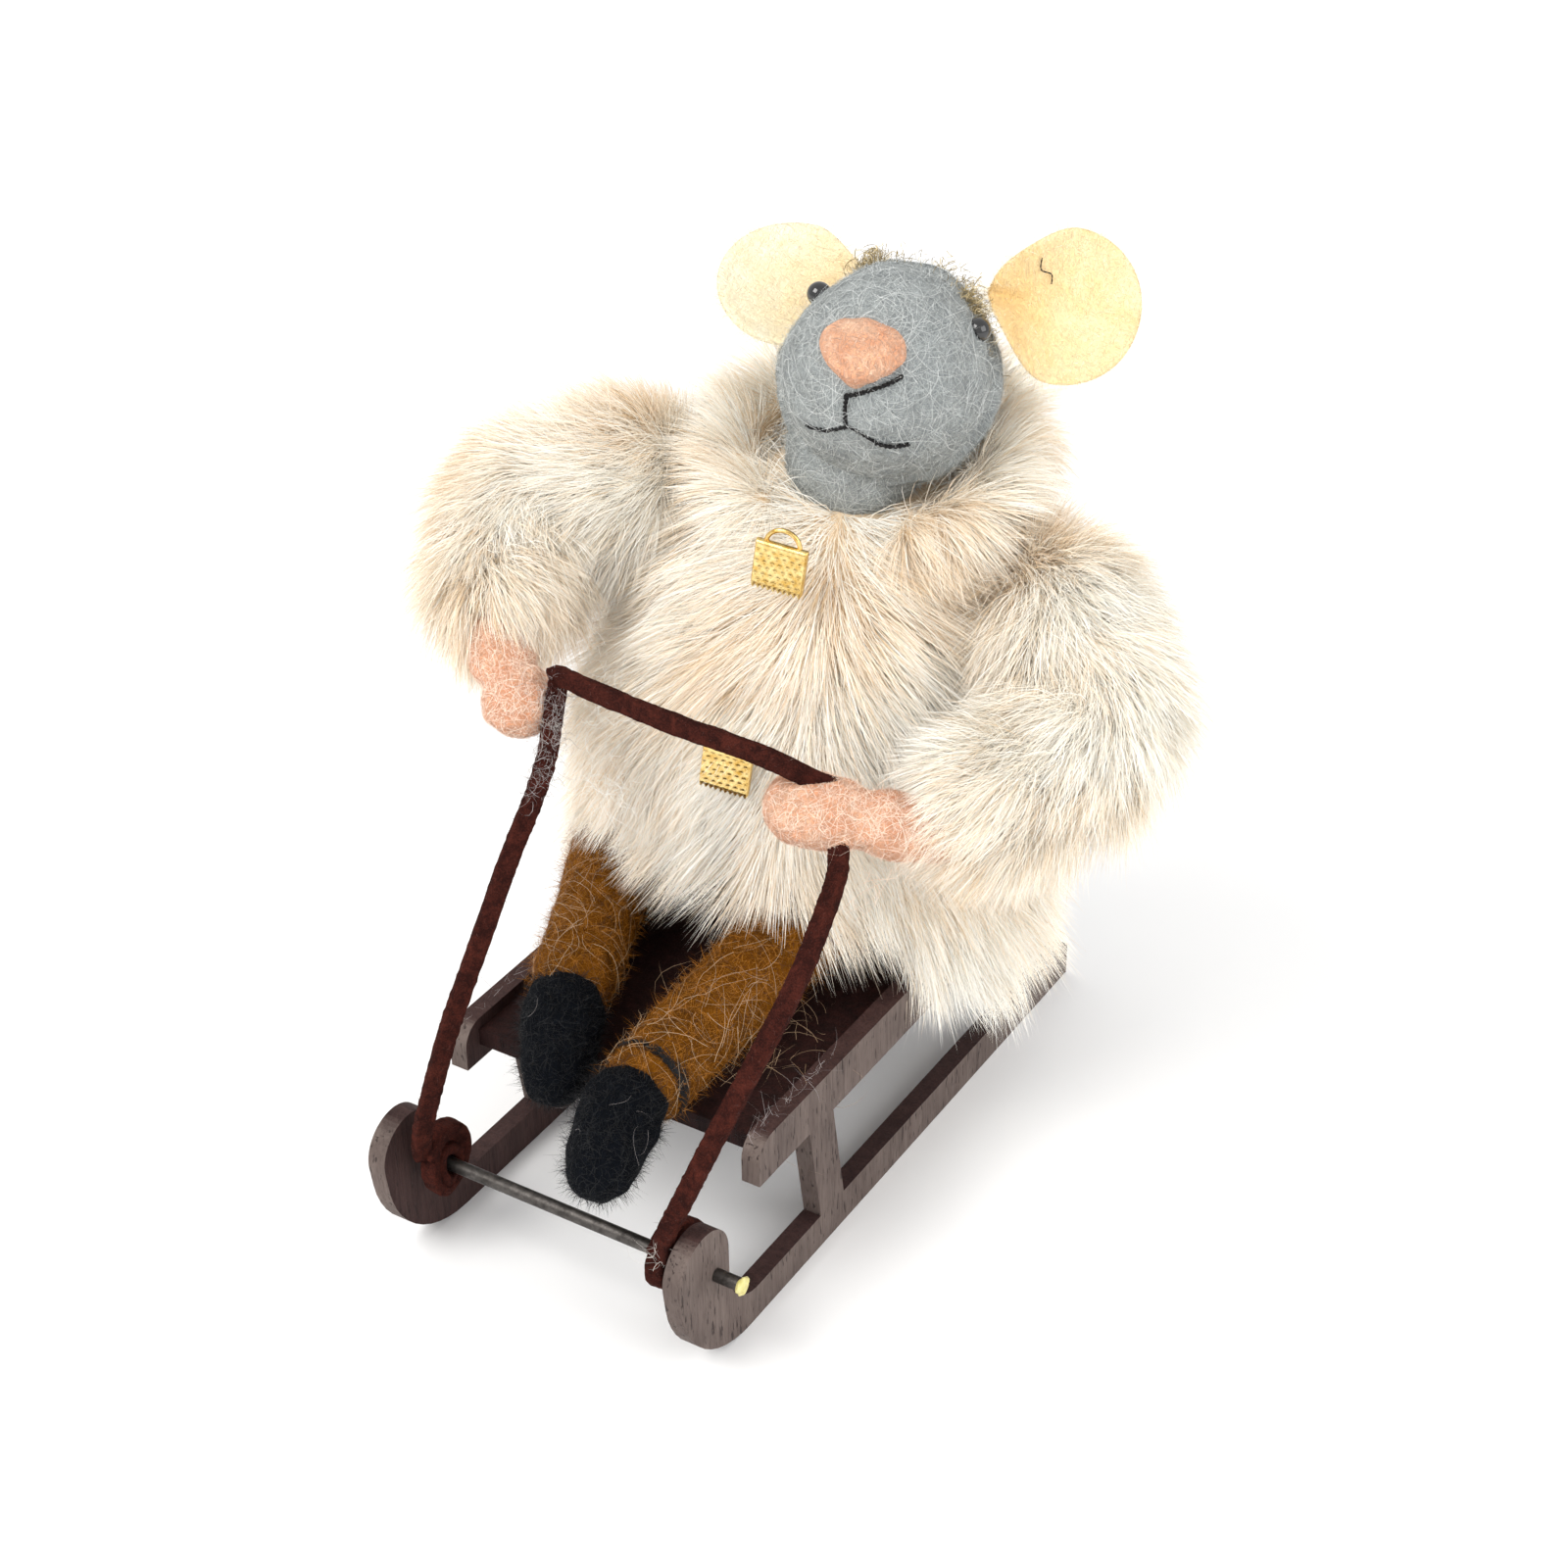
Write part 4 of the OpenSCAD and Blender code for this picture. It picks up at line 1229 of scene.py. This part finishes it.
# The mouse's left ear gets deeper ochre tones than its right: painted shade, as that ear faces forwards rather than
# up into the light.
EARS = (
    ("left", [22.5, 5, 15], (8, 0, 22), -1, 4.6, 0.28, on_head([13.5, 2, 12]), "#f6deb0", "#eec98a"),
    ("right", [-18, 5, 10], (-28, 0, 6), 1, 1.5, 0.3, on_head([-11, 2, 12]), "#fbf0d3", "#f6e2b4"),
)
RIM_HAIRS = 1500  # the loose hairs round each ear's rim
ear_surfaces = []
for label, place, turn_by, base_side, fold, pinch, base_point, middle, dark in EARS:
    front = ear_skin(place, turn_by, base_side, fold, pinch, 1)
    rear = ear_skin(place, turn_by, base_side, fold, pinch, -1)
    ear = disc_piece(f"ear_sheet_{label}", front, rear, 30, 96)
    finish_piece(ear, ear_felt(base_point, middle, dark), "head")
    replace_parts(ear, f"ear_{label}")
    felt_fuzz(f"ear_fuzz_{label}", front, cream_fuzz, 1400, 0.8, ear, 0.05, 0.9, (0.1, 0.99))
    rim_u = felt_rng.random(RIM_HAIRS)
    rim = front(rim_u, np.full(RIM_HAIRS, 0.985))
    away = unit(rim - front(rim_u, np.full(RIM_HAIRS, 0.8)))
    lines = loose_hairs(rim, away, 2.6, felt_rng, 0.7, 5)
    fibre_mesh(f"ear_rim_{label}", lines, np.full(RIM_HAIRS, 0.045), away
        + 0.4 * felt_rng.normal(size=(RIM_HAIRS, 3)), felt_rng.uniform(-1, 1, RIM_HAIRS), cream_fuzz, None,
        ear)
    ear_surfaces.append(front)


def curls(name, count, material, parent, seed):
    """Curly wool: each strand is a loose spiral. Most of them stand in two small clumps on top of the head,
    and a few between the clumps and behind them."""
    r = np.random.default_rng(seed)
    clump = r.random(count)
    c = np.where(clump < 0.4, -24, np.where(clump < 0.8, 46,
        12)) + r.normal(size=count) * np.where(clump < 0.8, 7, 26)
    a = np.where(clump < 0.8, 86, 100) + r.normal(size=count) * np.where(clump < 0.8, 4, 7)
    centre = on_face(a, c, 0.3 + 1.7 * r.random(count))
    axis = unit(unit(on_face(a, c + 8) - on_face(a, c)) + 0.9 * r.normal(size=(count, 3)))
    side = unit(np.cross(axis, r.normal(size=(count, 3))))
    other = np.cross(axis, side)
    t = np.linspace(0, 1, 22)[None, :, None]
    radius = r.uniform(0.5, 1.5, (count, 1, 1)) * (1 - 0.35 * t)
    angle = r.uniform(0, 6.28, (count, 1, 1)) + 2 * math.pi * r.uniform(1.0, 2.6, (count, 1, 1)) * t
    lines = centre[:, None] + axis[:, None] * (t - 0.5) * r.uniform(1.5, 5.0,
        (count, 1, 1)) + radius * (side[:, None] * np.cos(angle) + other[:, None] * np.sin(angle))
    return fibre_mesh(name, lines, r.uniform(0.09, 0.16, count), unit(centre - HEAD_PLACE),
        r.uniform(-1, 1, count), material,
                      "head" if parent is None else None, parent)


hair = curls("hair_curls", 150, curl_wool, None, 71)
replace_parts(hair, "hair_tuft")
curls("hair_curls_dark", 80, curl_wool_dark, hair, 72)

# ---------------------------------------------------------------- hands, legs and boots

HAND_LEFT = on_seat([[34, -41, 51], [28, -43.5, 50.4], [20, -46, 50.8], [12.5, -47.5, 50.8], [4, -49, 51]])
HAND_RIGHT = on_seat([[-45, -33.5, 58.2], [-44, -37, 56], [-41, -40.5, 53], [-38, -42.5, 50.5], [-34.5, -45, 46.4]])


def two_lobes(t):
    """A hand has two lobes: it narrows where the lace is wound round it."""
    return 1 - 0.2 * np.exp(-(((t - 0.52) / 0.06) ** 2))


hand_left_surface = limb(HAND_LEFT, [4.6, 4.8, 5.3, 5.6, 5.4], 0.2, 5, 81, two_lobes)
hand_right_surface = limb(HAND_RIGHT, [4.6, 4.8, 5.3, 5.7, 5.4], 0.2, 5, 82, two_lobes)
for label, surface in (("left", hand_left_surface), ("right", hand_right_surface)):
    hand = closed_piece(f"hand_felt_{label}", surface, 56, 56, peach_felt, f"arm_{label}")
    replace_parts(hand, f"hand_{label}")
    felt_fibres(f"hand_wool_{label}", surface, wool_peach, wool_peach_dark, (1500, 700), 3.6, hand, 0.065, 0.16)
    felt_fuzz(f"hand_fuzz_{label}", surface, wool_peach, 1500, 1.0, hand)

LEGS = (
    ("left", [11.5, 68, 42.5], [9.6, 5.8, 37.8], [13.5, -6.8, 35.4]),
    ("right", [-31, 68, 42.5], [-11.7, 20.2, 37.8], [-4.8, 7.8, 35.6]),
)
BOOT_STRAYS, LEG_STRAYS = 12, 230  # the stray hairs lying on each boot and each leg
leg_surfaces = []
for label, hip, ankle, toe in LEGS:
    hip, ankle, toe = np.array(hip), np.array(ankle), np.array(toe)
    way = unit(ankle - hip)
    route = on_sledge([hip - way * 7.4, hip + way * 12, (hip + ankle) / 2, ankle - way * 8, ankle + way * 0.6])
    leg_surface = limb(route, [7.6, 7.6, 7.1, 6.6, 6.3], 0.3, 7, 91)
    leg = closed_piece(f"leg_felt_{label}", leg_surface, 64, 56, mustard_felt, f"leg_{label}")
    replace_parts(leg, f"leg_{label}")
    felt_fibres(f"leg_wool_{label}", leg_surface, wool_mustard, wool_mustard_dark, (3000, 2000), 3.4, leg,
        0.07, 0.2, (0.1, 0.94))
    felt_fuzz(f"leg_fuzz_{label}", leg_surface, wool_mustard, 5200, 1.7, leg, 0.06, 0.5, (0.1, 0.96))
    foot_way = unit(toe - ankle)
    boot_route = on_sledge([ankle - way * 1.5 - foot_way * 4.2, ankle + foot_way * 2, (ankle + toe) / 2, toe
        - foot_way * 2, toe + foot_way * 4.4])
    boot_surface = limb(boot_route, [6.5, 6.5, 6.1, 5.4, 4.4], 0.22, 6, 93)
    boot = closed_piece(f"boot_felt_{label}", boot_surface, 48, 56, black_felt, f"leg_{label}")
    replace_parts(boot, f"boot_{label}")
    felt_fibres(f"boot_wool_{label}", boot_surface, wool_black, wool_black, (900, 0), 2.6, boot, 0.07, 0.2)
    felt_fuzz(f"boot_fuzz_{label}", boot_surface, wool_black, 3000, 1.7, boot, 0.06, 0.5)
    lines, facing = lying_fibres(boot_surface, BOOT_STRAYS, 5.0, felt_rng, 0.35, 2.4)
    fibre_mesh(f"boot_stray_{label}", lines, np.full(BOOT_STRAYS, 0.04), facing,
        felt_rng.uniform(-1, 1, BOOT_STRAYS), stray_grey, None, boot)
    lines, facing = lying_fibres(leg_surface, LEG_STRAYS, 11.0, felt_rng, 1.0, 1.4, (0.3, 0.95), 10)
    fibre_mesh(f"leg_stray_{label}", lines, felt_rng.uniform(0.04, 0.08, LEG_STRAYS), facing,
        felt_rng.uniform(-1, 1, LEG_STRAYS), stray_tan, None, leg)
    leg_surfaces.append(leg_surface)


def band(surface, at, name, parent, seed):
    """A ragged dark ring of wool on the leg, where boot wool strayed: short fibres laid round it."""
    r = np.random.default_rng(seed)
    count = 700
    u = r.random(count)
    v = at + r.normal(size=count) * 0.006 + 0.006 * np.sin(2 * math.pi * u)
    t = np.linspace(0, 1, 6)
    uu = u[:, None] + (r.uniform(0.03, 0.09, count)[:, None] * (t - 0.5)[None])
    vv = v[:, None] + r.normal(size=count)[:, None] * 0.012 * t[None]
    normal, _, _ = normal_of(surface, uu, vv)
    lines = surface(uu, vv) + normal * (0.15 + 0.25 * r.random(count))[:, None, None]
    fibre_mesh(name, lines, r.uniform(0.08, 0.14, count), normal[:, 2], r.uniform(-0.6, 0.6, count),
        wool_black, None, parent)


band(leg_surfaces[0], 0.8, "leg_band_left", bpy.data.objects["leg_felt_left"], 97)

# ---------------------------------------------------------------- clasps


def clasp_pieces(name, pivot, node_name, body):
    """A ribbon-end clasp: a folded gilt plate with rows of punched dots, a row of teeth along its foot, and a
    wire loop."""
    width, height, thick = 8.0, 7.0, 1.5
    across = np.linspace(-1, 1, 97)
    profile_a = np.linspace(0, math.pi, 12)
    roll_y, roll_z = -thick / 2 + thick / 2 * np.cos(profile_a), thick / 2 * np.sin(profile_a)
    down = np.linspace(0, -1, 74)[1:]
    front_y, front_z = np.full(73, -thick), down * height
    up = np.linspace(-1, 0, 74)[:-1]
    back_y, back_z = np.zeros(73), up * height
    y = np.concatenate([roll_y, front_y, back_y])
    z = np.concatenate([roll_z, front_z, back_z])
    face = np.concatenate([np.zeros(12), -np.ones(73), np.ones(73)])
    x = across[:, None] * width / 2
    yy, zz, ff = y[None] + 0 * x, z[None] + 0 * x, face[None] + 0 * x
    xx = x + 0 * yy
    row = np.floor(-zz / 1.05)
    cell_x = (xx + (row % 2) * 0.6 + 40) % 1.2 - 0.6
    cell_z = (-zz) % 1.05 - 0.525
    inside = (np.abs(xx) < 3.6) & (zz < -0.5) & (zz > -height + 0.9)
    dot = np.exp(-((cell_x**2 + cell_z**2) / 0.075)) * inside
    yy = yy - ff * 0.13 * dot
    tooth = np.abs((xx * 1.25) % 1.0 - 0.5) * 2
    foot = smooth(-zz, height - 0.9, height)
    zz = zz - foot * (0.35 - 0.7 * tooth) * 0.9
    yy = yy * (1 - 0.25 * foot) - 0.15 * foot
    edge = smooth(np.abs(across), 0.93, 1.0)[:, None]
    yy = -thick / 2 + (yy + thick / 2) * (1 - 0.45 * edge**2)
    grid = np.stack([xx, yy, zz], -1)
    points, faces = capped_tube(grid)
    points = on_seat(points + np.array([pivot[0], -pivot[1], pivot[2]]))
    faces = outward(points - points.mean(0), faces)
    plate = finish_piece(add_mesh(name, points, faces), gilt, body)
    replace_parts(plate, node_name)
    a = np.linspace(0, math.pi, 13)
    loop = np.stack([2.65 * np.cos(a), -0.5 + 0 * a, 0.2 + 2.65 * np.sin(a)],
        -1) + np.array([pivot[0], -pivot[1], pivot[2]])
    closed_piece(name + "_loop", limb(on_seat(loop), [0.36, 0.36]), 60, 14, gilt, None, parent=plate)
    return plate


clasp_pieces("clasp_plate_upper", [-3, 32, 83], "clasp_upper", "upper_clasp")
clasp_pieces("clasp_plate_lower", [-6, 35.5, 48], "clasp_lower", "lower_clasp")

# ---------------------------------------------------------------- wisps and stray hairs

stray_rng = np.random.default_rng(101)


def wisps(name, route, count, length, material, body=None, parent=None, spread=1.2, width=0.07,
    way=(0, 0, 1), curl=1.2):
    """Loose hairs that start along a route and tangle round it."""
    path = spline(route, 10)
    pick = stray_rng.integers(0, len(path), count)
    starts = path[pick] + stray_rng.normal(size=(count, 3)) * spread * 0.4
    ways = np.array(way, float) * 0.6 + stray_rng.normal(size=(count, 3)) * 0.8
    lines = loose_hairs(starts, ways, length, stray_rng, curl, 9)
    return fibre_mesh(name, lines, width * (0.6 + 0.8 * stray_rng.random(count)), stray_rng.normal(size=(count, 3)),
                      stray_rng.uniform(-1, 1, count), material, body, parent)


wisps("rail_wisps_left", on_sledge([[27, 13, 33.1], [27.3, 20, 33.2], [27.5, 28, 33.2], [27.5, 36, 33.3]]),
    90, 3.4, stray_grey, "sledge", way=(0, 0.9, 0), spread=1.0, width=0.04, curl=0.8)
wisps("rail_wisps_right", on_sledge([[-27.5, 14, 33.2], [-27.5, 30, 33.2]]), 30, 3.0, stray_grey, "sledge",
    way=(0, 0.9, 0), width=0.04, curl=0.8)
wisps("seat_hairs", on_sledge([[18, 22, 31.4], [20, 40, 31.4], [2, 30, 31.4]]), 90, 9.0, stray_tan, "sledge",
    spread=6, way=(0, 0, 0.2), width=0.06)
wisps("seat_edge_fuzz", on_sledge([[-22, 15.8, 30.2], [0, 15.8, 30.2], [24, 15.8, 30.2]]), 260, 1.4,
    wool_black, "sledge", spread=0.8, width=0.06, way=(0, -0.8, -0.4))
wisps("knot_hairs", on_sledge([[22, -5, 20], [22.5, -5.5, 25]]), 26, 4.0, stray_white, "sledge")
wisps("thumb_hairs_left", np.array(HAND_LEFT[1:4]) + [0, 0, 4.5], 46, 9.0, wool_peach, "arm_left", spread=3,
    way=(0, -0.3, 0.2), curl=1.6)
tangle = path_right[-16:]
glue_wisps = wisps("lace_wisps_right", tangle, 520, 3.4, stray_grey, None, spread=1.9, way=(0, 0, 0),
    curl=1.8, width=0.06)
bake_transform(glue_wisps)
wisps("hand_wisps_right", np.array([HAND_RIGHT[3] + [3, -2, 3], HAND_RIGHT[4] + [3, 1, 1]]), 150, 4.0,
    stray_white, "arm_right", spread=1.6, way=(0.2, 0, 0.2), curl=1.8, width=0.06)

for name, place in (("coat_wisps_low", [-25, -31, 33]), ("coat_wisps_side", [-29, -27, 43])):
    starts = on_seat(np.array(place) + stray_rng.normal(size=(2, 3)) * 2)
    wisps(name, starts, 110, 6.0, fur_white, "sledge", spread=6, way=SIDE * 0.6 - UP * 0.3, curl=1.8, width=0.07)
thread_route = on_seat([[24, -47, 44], [22, -50, 42], [17, -50, 40]])
wisps("loose_ends_left", thread_route, 14, 8.0, wool_peach, "arm_left", spread=1.5, way=(0.2, -0.3, -0.4), curl=1.8)
ear_hair = ear_surfaces[0](np.array([0.36, 0.34, 0.37, 0.35]),
    np.array([0.3, 0.42, 0.55, 0.7])) + on_head([0, -0.5, 0]) - HEAD_PLACE
add_thread("ear_hair_left", spline(ear_hair, 8), 0.22, bpy.data.objects["ear_sheet_left"], rings=60)
